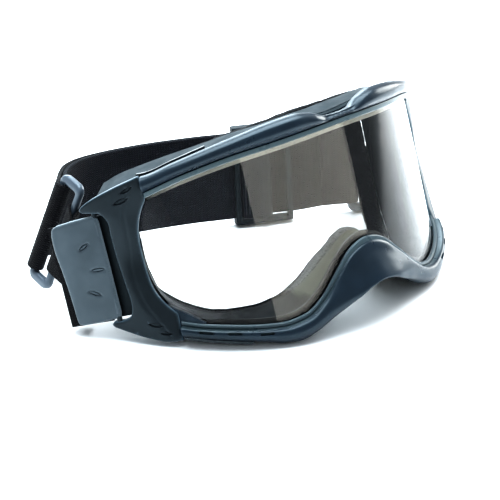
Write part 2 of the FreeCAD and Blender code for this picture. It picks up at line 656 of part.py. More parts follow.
def slider_loop():
    """The strap's end, sewn round the slider's middle bar."""
    half = STRAP_W / 2
    front, back = 5.6, STRAP_GAP + 0.05
    loop = Part.makeBox(9.4, 2 * half, front - back, V(-6.6, -half, back))
    bar_room = Part.makeBox(SLIDER_RAIL + 1.0, 2 * half + 2, 2.6, V(-SLIDER_RAIL / 2 - 0.5, -half - 1, 2.1))
    loop = loop.cut(bar_room)
    loop = loop.cut(Part.makeBox(4.5, 2 * half + 2, 4.0, V(-7.0, -half - 1, STRAP_GAP + STRAP_T)))
    loop.Placement = slider_placement()
    return loop


# ---- the assembly ----
def make_parts():
    parts = {}
    pegs = [on_side(peg) for peg in bracket_pegs()]
    frame_front = cut_all(front_frame(), pegs + [mirror_x(peg) for peg in pegs])
    upright_parts = {"front_frame": frame_front, "lens": lens(), "lens_seal": lens_seal(),
                     "face_skirt": face_skirt(), "face_foam": face_foam(),
                     "top_vent_cover": top_vent_cover(), "top_vent_foam": top_vent_foam()}
    vent = low_vent_foam()
    upper_tongue = tongue(ARC_END - 30, ARC_END + 2, crest, -1.0, 0.6, -5.6, -3.6)
    lower_tongue = tongue(60.0, ARC_END - 3.7, low_edge, -1.3, -0.27, -2.0, 1.6)
    sided = {"low_vent_foam": mirror_x(vent), "upper_tongue": upper_tongue,
             "lower_tongue": lower_tongue, "side_bracket": on_side(side_bracket()),
             "hinge_pin": on_side(upright(PIN_R, PIN_S, PIN_D, -30.6, 23.6)),
             "clip_plate": on_side(clip_plate()), "clip_liner": on_side(clip_liner()),
             "clip_back": on_side(clip_back()),
             "clip_rivets": on_side(Part.makeCompound(clip_rivets())),
             "strap_bar": on_side(upright(BAR_R, BAR_S, BAR_D, CLIP_Z[0] + 0.8, CLIP_Z[1] - 3.2))}
    for name, shape in sided.items():
        upright_parts[name + "_left"] = mirror_x(shape)
        upright_parts[name + "_right"] = shape
    for name, shape in upright_parts.items():
        parts[name] = stand(shape)
    return parts


def bar_ends(side):
    """The two ends of the clip's strap bar on the ground frame; side -1 is -X."""
    ends = [side_point(BAR_S, BAR_D, z) for z in (CLIP_Z[0], CLIP_Z[1] - 2.6)]
    return [stand_point(V(-side * p.x, p.y, p.z)) for p in ends]


def strap_parts():
    parts = {}
    far = (-STRAP_GAP - STRAP_T, -STRAP_GAP)
    near = (STRAP_GAP, STRAP_GAP + STRAP_T)
    parts["strap_back"] = layer(BACK_ROUTE, *far)
    parts["strap_return"] = layer(RETURN_ROUTE, *near)
    parts["strap_run_right"] = layer(ROUTE_TO_RIGHT, far[0], near[1])
    parts["strap_run_left"] = layer(ROUTE_TO_LEFT, far[0], near[1])
    for name, buckle_side, sign in (("right", RIGHT_BUCKLE, -1), ("left", LEFT_BUCKLE, 1)):
        parts["strap_buckle_" + name] = buckle(buckle_side)
        parts["strap_loop_" + name] = bar_loop(buckle_side)
        parts["webbing_tab_" + name] = webbing_tab(buckle_side, *bar_ends(sign))
    parts["strap_slider"] = strap_slider()
    parts["slider_loop"] = slider_loop()
    return parts


def main():
    os.makedirs("parts", exist_ok=True)
    parts = make_parts()
    parts.update(strap_parts())
    box = FreeCAD.BoundBox()
    for shape in parts.values():
        box.add(shape.optimalBoundingBox())
    centre = V(-(box.XMin + box.XMax) / 2, -(box.YMin + box.YMax) / 2, -box.ZMin)
    for name, shape in parts.items():
        placed = shape.copy()
        placed.translate(centre)
        placed.exportStep("parts/%s.step" % name)
    print(len(parts), "parts, moved", centre)


main()
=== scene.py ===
import math

import bmesh
import bpy
import numpy as np
from mathutils import Matrix, Vector, noise
from mathutils.geometry import delaunay_2d_cdt


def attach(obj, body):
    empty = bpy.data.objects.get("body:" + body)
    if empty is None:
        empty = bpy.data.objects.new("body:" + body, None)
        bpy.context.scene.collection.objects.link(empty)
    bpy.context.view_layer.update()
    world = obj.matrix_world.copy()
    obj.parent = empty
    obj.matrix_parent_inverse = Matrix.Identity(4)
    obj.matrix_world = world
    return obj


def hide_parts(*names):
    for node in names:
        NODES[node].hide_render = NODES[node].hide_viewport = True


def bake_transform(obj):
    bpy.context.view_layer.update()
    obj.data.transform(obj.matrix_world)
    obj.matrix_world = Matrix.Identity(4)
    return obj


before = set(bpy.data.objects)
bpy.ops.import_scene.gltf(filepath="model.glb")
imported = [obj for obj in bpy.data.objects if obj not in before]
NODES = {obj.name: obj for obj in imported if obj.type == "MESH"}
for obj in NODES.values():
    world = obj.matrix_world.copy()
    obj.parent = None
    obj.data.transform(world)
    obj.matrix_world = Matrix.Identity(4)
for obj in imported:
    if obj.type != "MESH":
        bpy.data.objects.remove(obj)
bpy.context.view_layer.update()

# Lengths are in millimetres until place() or ground() turns them into metres of the row frame.
# The front is drawn as (u, d, z): u is the arc length round the lens, d the distance in front of it, z the height.
MM = 0.001
LENS_R = 96.0  # radius of the lens's arc
WRAP = math.radians(54.4)  # half the angle that the arc spans
ARC_END = LENS_R * WRAP  # u where the arc runs on into the flat temple side
LEAN = math.radians(19.1)  # how far the goggles lean back
DROP = 53.0  # height of the lens frame's origin over the table
SHIFT = np.array([0.0, -51.5775, 0.1708])  # from the stood goggles to the row frame
SIDES = (("right", -1), ("left", 1))  # the wearer's, and the sign of x


# ---- curves and places ----
def hermite(a, b, slope_a, slope_b, t, width):
    """The cubic from a to b with those slopes, at shares t of the width between them."""
    return (a * (1 + 2 * t) * (1 - t) ** 2 + slope_a * width * t * (1 - t) ** 2
            + b * t * t * (3 - 2 * t) + slope_b * width * t * t * (t - 1))


def smooth(*points, even=True):
    """A monotone cubic through (x, y) points, held level past the ends; even takes x without its sign."""
    xs, ys = np.array(points, float).T
    steps = np.diff(ys) / np.diff(xs)
    slopes = np.zeros(len(xs))
    turning = steps[:-1] * steps[1:] <= 0
    total = np.where(turning, 1.0, steps[:-1] + steps[1:])
    slopes[1:-1] = np.where(turning, 0.0, 2 * steps[:-1] * steps[1:] / total)

    def value(x):
        x = np.clip(np.abs(x) if even else x, xs[0], xs[-1])
        i = np.clip(np.searchsorted(xs, x, side="right") - 1, 0, len(xs) - 2)
        width = xs[i + 1] - xs[i]
        return hermite(ys[i], ys[i + 1], slopes[i], slopes[i + 1], (x - xs[i]) / width, width)
    return value


def through(points, count, closed=False):
    """A smooth curve through points along the second last axis, resampled to count points."""
    p = np.asarray(points, float)
    if closed:
        p = np.concatenate([p[..., -1:, :], p, p[..., :2, :]], -2)
    steps = np.sqrt(np.linalg.norm(np.diff(p, axis=-2), axis=-1))
    while steps.ndim > 1:
        steps = steps.mean(0)
    t = np.concatenate([[0], np.cumsum(steps)])
    speed = np.diff(p, axis=-2) / np.diff(t)[:, None]
    ahead, behind = np.diff(t)[1:, None], np.diff(t)[:-1, None]
    inner = (speed[..., :-1, :] * ahead + speed[..., 1:, :] * behind) / (ahead + behind)
    slope = np.concatenate([speed[..., :1, :], inner, speed[..., -1:, :]], -2)
    start, stop = (t[1], t[-2]) if closed else (t[0], t[-1])
    at = np.linspace(start, stop, count, endpoint=not closed)
    i = np.clip(np.searchsorted(t, at, side="right") - 1, 0, len(t) - 2)
    width = (t[i + 1] - t[i])[:, None]
    share = (at - t[i])[:, None] / width
    return hermite(p[..., i, :], p[..., i + 1, :], slope[..., i, :], slope[..., i + 1, :], share, width)


def unit(v):
    return v / np.maximum(np.linalg.norm(v, axis=-1, keepdims=True), 1e-9)


def circle(count):
    """Angles evenly round a full turn."""
    return np.linspace(0, 2 * math.pi, count, endpoint=False)


def heading(points, closed):
    """The direction of travel at each point of a path."""
    if closed:
        return unit(np.roll(points, -1, 0) - np.roll(points, 1, 0))
    return unit(np.gradient(points, axis=0))


def run_length(points):
    """How far along a path each of its points lies."""
    return np.concatenate([[0], np.cumsum(np.linalg.norm(np.diff(points, axis=0), axis=1))])


def wrap(u, d, z):
    """Lens-frame points from (u, d, z)."""
    u, d, z = np.broadcast_arrays(np.asarray(u, float), d, z)
    side, reach = np.where(u < 0, -1.0, 1.0), np.abs(u)
    angle, past = np.minimum(reach, ARC_END) / LENS_R, np.maximum(reach - ARC_END, 0)
    x = side * ((LENS_R + d) * np.sin(angle) + past * math.cos(WRAP))
    y = LENS_R - (LENS_R + d) * np.cos(angle) + past * math.sin(WRAP)
    return np.stack([x, y, z], -1)


def stood(points):
    """Lens-frame points leaned back and lifted onto the ground, still in millimetres."""
    x, y, z = np.moveaxis(np.asarray(points, float), -1, 0)
    c, s = math.cos(LEAN), math.sin(LEAN)
    return np.stack([x, y * c + z * s, z * c - y * s + DROP], -1)


def ground(points):
    """Row-frame metres from stood millimetres."""
    return (np.asarray(points, float) + SHIFT) * MM


def place(points):
    """Row-frame metres from lens-frame points."""
    return ground(stood(points))


def rounded(corners, radius, arc=4, fill=0):
    """Polygons (..., corner, axis) with their corners rounded and their sides cut into fill + 1 lengths."""
    corners = np.asarray(corners, float)
    a = corners + unit(np.roll(corners, 1, -2) - corners) * radius
    b = corners + unit(np.roll(corners, -1, -2) - corners) * radius
    t = np.linspace(0, 1, arc)[:, None]
    rows = (1 - t) ** 2 * a[..., None, :] + 2 * t * (1 - t) * corners[..., None, :] + t * t * b[..., None, :]
    if fill:
        t = np.linspace(0, 1, fill + 2)[1:-1, None]
        after = np.roll(a, -1, -2)
        rows = np.concatenate([rows, b[..., None, :] * (1 - t) + after[..., None, :] * t], -2)
    return rows.reshape(*corners.shape[:-2], -1, corners.shape[-1])


# ---- meshes ----
def grid_faces(rows, cols, close_rows, caps):
    """Faces of a tube of rows, each row a closed ring of cols points."""
    faces = [(i * cols + j, i * cols + (j + 1) % cols, (i + 1) % rows * cols + (j + 1) % cols,
              (i + 1) % rows * cols + j) for i in range(rows if close_rows else rows - 1) for j in range(cols)]
    if caps and not close_rows:
        faces += [tuple(range(cols))[::-1], tuple(range((rows - 1) * cols, rows * cols))]
    return faces


def piece(name, points, faces, material, body="goggle", slot=None, replaces=(), crease=38.0):
    """A finished mesh object, smooth but for edges over crease degrees; body is None to leave it unattached."""
    mesh = bpy.data.meshes.new(name)
    mesh.from_pydata(np.asarray(points).reshape(-1, 3).tolist(), [], faces)
    bm = bmesh.new()
    bm.from_mesh(mesh)
    bmesh.ops.recalc_face_normals(bm, faces=bm.faces)
    for face in bm.faces:
        face.smooth = True
    for edge in bm.edges:
        edge.smooth = len(edge.link_faces) == 2 and edge.calc_face_angle(0.0) < math.radians(crease)
    bm.to_mesh(mesh)
    bm.free()
    mesh.materials.append(material)
    obj = bpy.data.objects.new(name, mesh)
    bpy.context.scene.collection.objects.link(obj)
    if body:
        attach(obj, body)
    if replaces:
        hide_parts(*replaces)
    return obj


def tube(name, rings, material, close_rows=False, **about):
    """A piece from rings (row, column, axis), each ring closed."""
    faces = grid_faces(rings.shape[0], rings.shape[1], close_rows, True)
    return piece(name, rings, faces, material, **about)


def merge(parts):
    """Several (points, faces) as one."""
    points, faces, base = [], [], 0
    for some_points, some_faces in parts:
        some_points = np.asarray(some_points).reshape(-1, 3)
        points.append(some_points)
        faces += [tuple(base + i for i in f) for f in some_faces]
        base += len(some_points)
    return np.concatenate(points), faces


def lumps(points, size, seed):
    """Smooth noise between about -1 and 1 at each point, for lumps of a size in metres."""
    flat = np.asarray(points).reshape(-1, 3) / size + seed * 17.3
    return np.array([noise.noise(p) for p in flat.tolist()]).reshape(points.shape[:-1])


# ---- materials ----
def scaled(color, factor):
    return tuple(c * factor for c in color)


class Shader:
    """A material with a Principled shader and short calls for its procedural nodes."""

    def __init__(self, name, color, roughness, **sockets):
        self.material = bpy.data.materials.new(name)
        self.material.use_nodes = True
        self.nodes = self.material.node_tree.nodes
        self.links = self.material.node_tree.links
        self.surface = self.nodes["Principled BSDF"]
        self.surface.inputs["Base Color"].default_value = (*color, 1)
        self.surface.inputs["Roughness"].default_value = roughness
        for key, value in sockets.items():
            self.surface.inputs[key.replace("_", " ")].default_value = value
        coords = self.nodes.new("ShaderNodeTexCoord")
        self.place, self.uv = coords.outputs["Object"], coords.outputs["UV"]

    def add(self, kind, inputs=(), **settings):
        node = self.nodes.new("ShaderNode" + kind)
        for key, value in settings.items():
            setattr(node, key, value)
        for key, value in dict(inputs).items():
            socket = node.inputs[key]
            if isinstance(value, bpy.types.NodeSocket):
                self.links.new(value, socket)
            else:
                socket.default_value = value
        return node

    def noise(self, scale, detail=4.0, rough=0.55):
        return self.add("TexNoise", {"Vector": self.place, "Scale": scale, "Detail": detail,
                                     "Roughness": rough}).outputs["Fac"]

    def cells(self, scale):
        return self.add("TexVoronoi", {"Vector": self.place, "Scale": scale}).outputs["Distance"]

    def spread(self, value, low, high, out_low=0.0, out_high=1.0):
        return self.add("MapRange", {"Value": value, "From Min": low, "From Max": high, "To Min": out_low,
                                     "To Max": out_high}).outputs["Result"]

    def math(self, operation, a, b=0.0):
        return self.add("Math", {0: a, 1: b}, operation=operation).outputs[0]

    def plus(self, a, b):
        return self.math("ADD", a, b)

    def times(self, a, b):
        return self.math("MULTIPLY", a, b)

    def blend(self, fac, *colors):
        """Mixes two colours, each a socket or three numbers; 6, 7 and 2 are the Mix node's colour sockets."""
        a, b = ((*c, 1) if isinstance(c, tuple) else c for c in colors)
        return self.add("Mix", {"Factor": fac, 6: a, 7: b}, data_type="RGBA").outputs[2]

    def tone(self):
        return self.add("Attribute", attribute_name="tone").outputs["Fac"]

    def finish(self, color=None, roughness=None, bump=None):
        """Links what is given, bump as (height, strength, distance), and returns the material."""
        normal = None
        if bump:
            normal = self.add("Bump", dict(zip(("Height", "Strength", "Distance"), bump))).outputs["Normal"]
        for key, socket in (("Base Color", color), ("Roughness", roughness), ("Normal", normal)):
            if socket:
                self.links.new(socket, self.surface.inputs[key])
        return self.material


def moulded(name, color, roughness, grain=1900.0, depth=0.00003, coat=0.0, rub_and_highlight=0.0, rub_highlight_color=(0.2, 0.25, 0.3),
            specular=0.5, rim_highlight=None):
    """Moulded plastic: fine spark-eroded grain, slow colour drift, edges lightened partly as rubbed wear and partly
    as painted highlight, and a painted rim highlight by tone.
    """
    m = Shader(name, color, roughness, Coat_Weight=coat, Coat_Roughness=0.12, Specular_IOR_Level=specular,
               Specular_Tint=(0.72, 0.90, 1.0, 1.0))
    drift = m.spread(m.noise(45.0, 3.0), 0.35, 0.65)
    base = m.blend(drift, scaled(color, 0.75), scaled(color, 1.15))
    # Sharp edges are lightened towards the worn colour: partly rubbed wear, partly a painted edge highlight.
    if rub_and_highlight:
        edge = m.spread(m.add("NewGeometry").outputs["Pointiness"], 0.53, 0.60, 0.0, rub_and_highlight)
        base = m.blend(m.times(edge, m.spread(m.noise(320.0, 3.0), 0.35, 0.6, 0.3, 1.0)), base, rub_highlight_color)
    # Where the tone attribute says so, a lighter rim colour is blended in: a painted highlight.
    if rim_highlight:
        base = m.blend(m.tone(), base, rim_highlight)
    rough = m.spread(m.noise(130.0, 5.0), 0.3, 0.7, roughness - 0.05, roughness + 0.08)
    return m.finish(base, rough, (m.plus(m.noise(grain, 2.0), m.times(m.noise(grain / 6, 2.0), 0.5)), 0.5, depth))


def clear_lens():
    """Clear polycarbonate with faint smears."""
    m = Shader("lens_polycarbonate", (1.0, 1.0, 1.0), 0.0, Transmission_Weight=1.0, IOR=1.26)
    return m.finish(m.blend(m.spread(m.noise(55.0, 3.0), 0.4, 0.7), (1.0, 1.0, 1.0), (0.96, 0.97, 0.97)))


def fabric(name, color, light, pitch, depth, inner=None):
    """Elastic webbing: ribs crossed by fine yarns, on the band's own UV map, raised yarns lighter and grooves
    darker as painted shade; inner is its colour by tone.
    """
    m = Shader(name, color, 0.85, Sheen_Weight=0.06, Sheen_Roughness=0.45, Specular_IOR_Level=0.2)
    parts = m.add("SeparateXYZ", {"Vector": m.uv})
    ribs = m.math("SINE", m.times(parts.outputs["X"], 2 * math.pi / pitch))
    yarns = m.math("SINE", m.times(parts.outputs["Y"], 2 * math.pi / (pitch * 0.75)))
    weave = m.times(ribs, yarns)
    fuzz = m.noise(2600.0, 3.0)
    height = m.plus(m.plus(m.times(yarns, 0.35), m.times(weave, 0.65)), m.times(fuzz, 0.7))
    # The bump height also sets the colour: raised yarns lighter and grooves darker, a painted shade in the weave.
    raised = m.spread(height, -0.5, 1.5)
    woven = m.blend(raised, color, light)
    if inner:
        woven = m.blend(m.tone(), woven, m.blend(raised, inner, scaled(inner, 2.2)))
    return m.finish(woven, m.spread(fuzz, 0.3, 0.7, 0.75, 0.95), (height, 0.9, depth))


def foam(name, color, light, pores):
    """Open foam with a flocked face: pores darker than their rims as painted shade, crumbs, and a lighter tone
    where the piece says so.
    """
    m = Shader(name, color, 0.95, Sheen_Weight=0.03, Sheen_Roughness=0.6, Specular_IOR_Level=0.15)
    pitted = m.cells(pores)
    crumbs = m.noise(pores * 1.7, 3.0)
    # The colour follows the bump height: darker in the pits, a painted shade in the pores.
    pit_shade_share = m.spread(m.plus(pitted, m.times(crumbs, 0.6)), 0.35, 1.05)
    dark = m.blend(pit_shade_share, scaled(color, 0.5), scaled(color, 2.2))
    pale = m.blend(pit_shade_share, scaled(light, 0.3), scaled(light, 1.4))
    return m.finish(m.blend(m.tone(), dark, pale), bump=(m.plus(pitted, crumbs), 0.9, 0.0004))


def skirt_rubber():
    """Soft moulded body, black, with an olive part over the nose."""
    m = Shader("skirt_rubber", (0.01, 0.011, 0.013), 0.5, Specular_IOR_Level=0.06)
    drift = m.noise(60.0, 4.0)
    black = m.blend(drift, (0.003, 0.0035, 0.004), (0.008, 0.009, 0.011))
    olive = m.blend(drift, (0.085, 0.09, 0.068), (0.16, 0.165, 0.125))
    return m.finish(m.blend(m.tone(), black, olive), m.spread(m.noise(200.0, 3.0), 0.3, 0.7, 0.42, 0.58),
                    (m.noise(1500.0, 2.0), 0.4, 0.00004))


def seal_rubber():
    """Lens seal: beige along its top run, dark down the sides and below."""
    m = Shader("seal_rubber", (0.02, 0.02, 0.02), 0.6)
    height = m.add("SeparateXYZ", {"Vector": m.place}).outputs["Z"]
    beige = m.blend(m.noise(240.0), (0.22, 0.21, 0.18), (0.42, 0.40, 0.35))
    return m.finish(m.blend(m.spread(height, 0.058, 0.064), (0.010, 0.011, 0.012), beige),
                    bump=(m.noise(1600.0, 2.0), 0.4, 0.00004))


def paint(material, *nodes):
    for node in nodes:
        mesh = NODES[node].data
        mesh.materials.clear()
        mesh.materials.append(material)


def both(*names):
    return [n + side for n in names for side in ("_left", "_right")]


# ---- front frame ----
lip_top = smooth((0, 30.3), (12, 30.0), (31, 29.2), (49, 28.3), (70, 25.6), (90, 21.0), (100, 18.4))
crest = smooth((0, 35.0), (7, 35.4), (14, 38.4), (23, 40.0), (34, 39.4), (46, 37.9), (60, 35.8), (76, 32.8),
               (90, 30.0))
bulge_top = smooth((0, 2.9), (6, 3.0), (14, 4.8), (24, 5.6), (45, 5.3), (90, 4.8))
lip_low = smooth((0, -19.4), (5, -20.2), (10.4, -22.6), (17.3, -28.4), (28, -38.0), (35.7, -42.2), (43.9, -43.2),
                 (52.6, -42.1), (66.7, -39.0), (79.6, -35.6), (90, -32.0), (100, -28.0))
low_edge = smooth((0, -38.0), (6, -39.2), (12.2, -41.9), (22, -46.2), (31.5, -50.6), (40.5, -52.7), (47.4, -51.8),
                  (55, -49.2), (66, -46.0), (77.4, -42.8), (90, -39.6))
nose_blend = smooth((0, 1.0), (9, 0.86), (17, 0.5), (30, 0.0), (31, 0.0))
post_outer = smooth((-36, -3), (-30, 5), (-24, 10.4), (-14, 12), (0, 13.2), (14, 12.8), (24, 9.5), (28, 2),
                    even=False)
post_inner = smooth((-36, -14), (-30, -6), (-24, 3.6), (-12, 8.2), (-2, 8.7), (8, 8.0), (18, 4.6), (24, -7),
                    (28, -12), even=False)
RAIL_BACK = -3.4  # d of both rails' back faces
LIP = 2.3  # height of the lip beside the lens, painted lighter by tone as a highlight
PEBBLES_TO = 9.5  # |u| up to which the upper rail's dip is pebbled


def sections(u, *corners):
    """(d, z) corners, each a number or one per station u, as an array (station, corner, 2)."""
    rows = [np.stack(np.broadcast_arrays(np.asarray(d, float) + 0 * u, z), -1) for d, z in corners]
    return np.stack(rows, -2)


def along_lens(u, section):
    return place(wrap(u[:, None], section[..., 0], section[..., 1]))


def rail_rings(u, lip, skin, shelf, edge, way):
    """Rings of a rail: up the lip, over the skin and back along the shelf; and how much each point is lip."""
    lip = through(sections(u, *lip), 7)
    skin = through(sections(u, *skin), 44)
    back = sections(u, (RAIL_BACK, shelf), (0.2, shelf))
    rows = np.concatenate([lip, skin, back], 1)
    rise = (rows[..., 1] - edge[:, None]) * way
    return along_lens(u, rows), np.clip((LIP - rise) / 0.25, 0, 1) * (rows[..., 0] > 0.1)


def wrapped_axis(u):
    """A line inside the upper rail, that its skin stands round."""
    return place(wrap(u[:, None], -0.5, (lip_top(u) + crest(u))[:, None] / 2))


def top_rail_rings():
    """Upper rail: lip, a narrow groove over it, and the rounded bulge with its dip in the middle."""
    u = np.concatenate([np.linspace(-ARC_END + 1.3, -14, 72)[:-1], np.linspace(-14, 14, 57),
                        np.linspace(14, ARC_END - 1.3, 72)[1:]])
    z, a = lip_top(u), bulge_top(u)
    h = crest(u) - z
    lip = [(0.2, z + 0.3), (1.0, z - 0.1), (1.9, z + 0.4)]
    skin = [(2.0, z + 1.6), (1.95, z + 2.15), (1.3, z + 2.45), (2.5, z + 2.75),
            (np.maximum(a - 0.5, 2.5), z + np.maximum(0.45 * h, 3.15)), (a, z + np.maximum(0.64 * h, 3.6)),
            (a - 0.9, z + np.maximum(0.86 * h, 4.3)), (1.7, z + h), (-1.3, z + h - 0.2),
            (RAIL_BACK, z + h - 1.6)]
    rings, lip_share = rail_rings(u, lip, skin, z + 3.2, z, 1)
    pebbled = PEBBLES_TO - np.abs(u)
    away = (rings - wrapped_axis(u)) * (pebbled > 0)[:, None, None]
    pebbles = np.abs(lumps(rings, 0.0011, 5)) * np.clip(pebbled / 1.5, 0, 1)[:, None] * (1 - lip_share)
    return rings + unit(away) * (pebbles * 0.0004)[..., None], lip_share


def low_rail_rings():
    """Lower rail: round on the cheeks, and flared forward into a thin saddle over the nose."""
    u = np.linspace(-ARC_END + 4.0, ARC_END - 4.0, 241)
    z, nose = lip_low(u), nose_blend(u)
    h = z - low_edge(u)
    lip = [(0.2, z - 0.3), (1.0, z + 0.1), (1.9, z - 0.4)]
    cheek = [(2.0, z - 1.0), (1.9, z - 1.5), (1.5, z - 1.75), (3.0, z - 2.0), (4.8, z - 0.33 * h),
             (5.3, z - 0.55 * h), (4.6, z - 0.8 * h), (1.8, z - h), (-1.2, z - h + 0.3), (-3.1, z - 0.85 * h),
             (RAIL_BACK, z - 0.7 * h)]
    saddle = [(2.1, z - 1.0), (2.2, z - 1.6), (2.3, z - 2.2), (3.0, z - 3.2), (3.9, z - 0.36 * h),
              (5.9, z - 0.62 * h), (7.9, z - 0.88 * h), (8.4, z - h), (6.6, z - h + 0.5), (0.4, z - 0.55 * h),
              (RAIL_BACK, z - 0.38 * h)]
    skin = [(s[0] * nose + c[0] * (1 - nose), s[1] * nose + c[1] * (1 - nose)) for s, c in zip(saddle, cheek)]
    return rail_rings(u, lip, skin, z - 3.2, z, -1)


def drain_slots():
    """Cutters for the three drain slots of each cheek: flat capsules square to the rail."""
    parts = []
    around, half, radius = circle(24), 2.2, 0.62
    for _, side in SIDES:
        for u in (54.0, 66.5, 77.5):
            z = (lip_low(u) + low_edge(u)) / 2 + 0.4
            slope = (lip_low(u + 2) - lip_low(u - 2)) / 4
            du = half * np.sign(np.cos(around)) + radius * np.cos(around)
            dz = radius * np.sin(around) + slope * du
            rings = np.stack([place(wrap(side * (u + du), d, z + dz)) for d in (3.4, 8.0)])
            parts.append((rings, grid_faces(*rings.shape[:2], False, True)))
    return merge(parts)


def carve(obj, points, faces):
    """Cuts a closed mesh out of obj."""
    cutter = bpy.data.objects.new("cutter", bpy.data.meshes.new("cutter"))
    cutter.data.from_pydata(points.tolist(), [], faces)
    bm = bmesh.new()
    bm.from_mesh(cutter.data)
    bmesh.ops.recalc_face_normals(bm, faces=bm.faces)
    bm.to_mesh(cutter.data)
    bm.free()
    cut = obj.modifiers.new("cut", "BOOLEAN")
    cut.operation, cut.solver, cut.object = "DIFFERENCE", "EXACT", cutter
    bpy.context.view_layer.update()
    result = bpy.data.meshes.new_from_object(obj.evaluated_get(bpy.context.evaluated_depsgraph_get()))
    obj.modifiers.remove(cut)
    obj.data = result
    bpy.data.objects.remove(cutter)


def make_front(material):
    """The hard frame: both rails, with the drain slots cut, and the posts hidden under the brackets."""
    rings, lip = top_rail_rings()
    top = tube("frame_top_rail", rings, material, slot="frame_plastic", replaces=["front_frame"])
    # Each point's lip share is stored as tone, and the material paints the lip lighter with it: a painted
    # highlight.
    tone(top, lip)
    rings, lip = low_rail_rings()
    low = tube("frame_low_rail", rings, material, body=None, slot="frame_plastic")
    # The lower lip gets the same painted highlight, at 0.6 strength.
    tone(low, lip * 0.6)
    carve(low, *drain_slots())
    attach(low, "goggle")
    z = np.array([28.0, 24, 18, 12, 6, 0, -6, -12, -18, -24, -30, -36])
    rows = ARC_END + np.stack([post_inner(z), post_outer(z), post_outer(z), post_inner(z)], -1)
    for name, side in SIDES:
        post = wrap(side * rows, np.array([0.4, 0.4, -2.9, -2.9]), z[:, None])
        tube("frame_post_" + name, place(rounded(post, 0.3, 3)), material, slot="frame_plastic")


# ---- moulded plates: side brackets and strap clips ----
def on_side(side, s, d, z):
    """Row-frame points of the flat temple side: s back from the end of the lens arc, d outward, z up."""
    return place(wrap(side * (ARC_END + np.asarray(s, float)), d, z))


def reach_to(points, loop):
    """Distance from each 2-D point to a closed polygon, and whether the point is inside it."""
    a, b = loop, np.roll(loop, -1, 0)
    step = b - a
    best = np.full(len(points), np.inf)
    inside = np.zeros(len(points), bool)
    for (ax, ay), (dx, dy) in zip(a, step):
        px, py = points[:, 0] - ax, points[:, 1] - ay
        t = np.clip((px * dx + py * dy) / (dx * dx + dy * dy), 0, 1)
        best = np.minimum(best, np.hypot(px - t * dx, py - t * dy))
        if dy:
            crosses = ((py < 0) != (py < dy)) & (px < dx * py / dy)
            inside ^= crosses
    return best, inside


def leaf(start, end, half_width):
    """A leaf-shaped mark's middle, direction, crossing direction, half length and half width."""
    start, end = np.array(start), np.array(end)
    axis = unit(end - start)
    return (start + end) / 2, axis, np.array([-axis[1], axis[0]]), np.linalg.norm(end - start) / 2, half_width


def leaf_points(marks):
    """Points round each leaf-shaped mark, so that it comes out crisp."""
    rows = []
    for mark in marks:
        middle, axis, across, length, half_width = leaf(*mark)
        for scale in (1.5, 1.15, 0.85, 0.55, 0.25, 0.0):
            for t in np.linspace(-1.05, 1.05, 25):
                v = half_width * scale * max(1 - t * t, 0.02)
                rows += [middle + axis * t * length + across * v * way for way in (-1, 1)]
    return np.array(rows) if rows else np.zeros((0, 2))


def leaf_place(points, mark):
    """Where points are in a leaf mark: share of its half length, and distance off its line over its half width."""
    middle, axis, across, length, half_width = leaf(*mark)
    return (points - middle) @ axis / length, (points - middle) @ across / half_width


FAR_FROM_EDGE = 9.0  # edge distance given to a plate's back, so that it takes no painted rim highlight


def relief(outline, lift, back, marks=(), spacing=0.9, rings=(0.15, 0.35, 0.6, 0.95, 1.4, 2.0)):
    """A plate with a shaped front, lift(points, edge distance): (s, d, z) points, faces and edge distances."""
    tangent = unit(np.roll(outline, -1, 0) - np.roll(outline, 1, 0))
    area = np.sum(outline[:, 0] * np.roll(outline[:, 1], -1) - np.roll(outline[:, 0], -1) * outline[:, 1])
    inward = np.stack([-tangent[:, 1], tangent[:, 0]], -1) * np.sign(area)
    inner = []
    for i, r in enumerate(rings):
        ring = (outline + inward * r)[::1 + i // 2]
        reach, inside = reach_to(ring, outline)
        inner.append(ring[inside & (reach > r * 0.97)])
    low, high = outline.min(0), outline.max(0)
    lattice = []
    for i, z in enumerate(np.arange(low[1], high[1], spacing * 0.866)):
        s = np.arange(low[0] + spacing / 2 * (i % 2), high[0], spacing)
        lattice.append(np.stack([s, np.full(len(s), z)], -1))
    lattice = np.concatenate(lattice)
    fine = leaf_points(marks)
    if len(fine):
        lattice = lattice[np.array([np.abs(fine - p).sum(1).min() > 0.45 for p in lattice])]
        fine = fine[reach_to(fine, outline)[1]]
    reach, inside = reach_to(lattice, outline)
    inner.append(lattice[inside & (reach > rings[-1] + spacing * 0.4)])
    points = np.concatenate([outline] + inner + [fine])
    count = len(outline)
    border = [(i, (i + 1) % count) for i in range(count)]
    flat, _, triangles, *_ = delaunay_2d_cdt([Vector(p) for p in points], border, [], 1, 1e-4)
    flat = np.array([tuple(p) for p in flat])
    reach = reach_to(flat, outline)[0]
    front = np.stack([flat[:, 0], lift(flat, reach), flat[:, 1]], -1)
    rear = np.stack([flat[:, 0], np.full(len(flat), back), flat[:, 1]], -1)
    sides = dict.fromkeys(pair for tri in triangles for pair in zip(tri, tri[1:] + tri[:1]))
    size = len(flat)
    reach = np.concatenate([reach, np.full(size, FAR_FROM_EDGE)])
    faces = [tuple(t) for t in triangles] + [tuple(size + i for i in reversed(t)) for t in triangles]
    faces += [(b, a, a + size, b + size) for a, b in sides if (b, a) not in sides]
    return np.concatenate([front, rear]), faces, reach


def brow(reach, radius):
    """How far a rounded edge of that radius drops at a distance from the edge."""
    near = np.clip(radius - reach, 0, radius)
    return radius - np.sqrt(np.maximum(radius ** 2 - near ** 2, 0))


def outline_of(edges, pitch=0.5):
    """A closed outline of edges, each a smooth curve from the end of the edge before it through its own points."""
    rows = []
    for i, edge in enumerate(edges):
        edge = np.array([edges[i - 1][-1], *edge], float)
        length = np.linalg.norm(np.diff(edge, axis=0), axis=1).sum()
        rows.append(through(edge, max(int(length / pitch), 3))[:-1])
    return np.concatenate(rows)


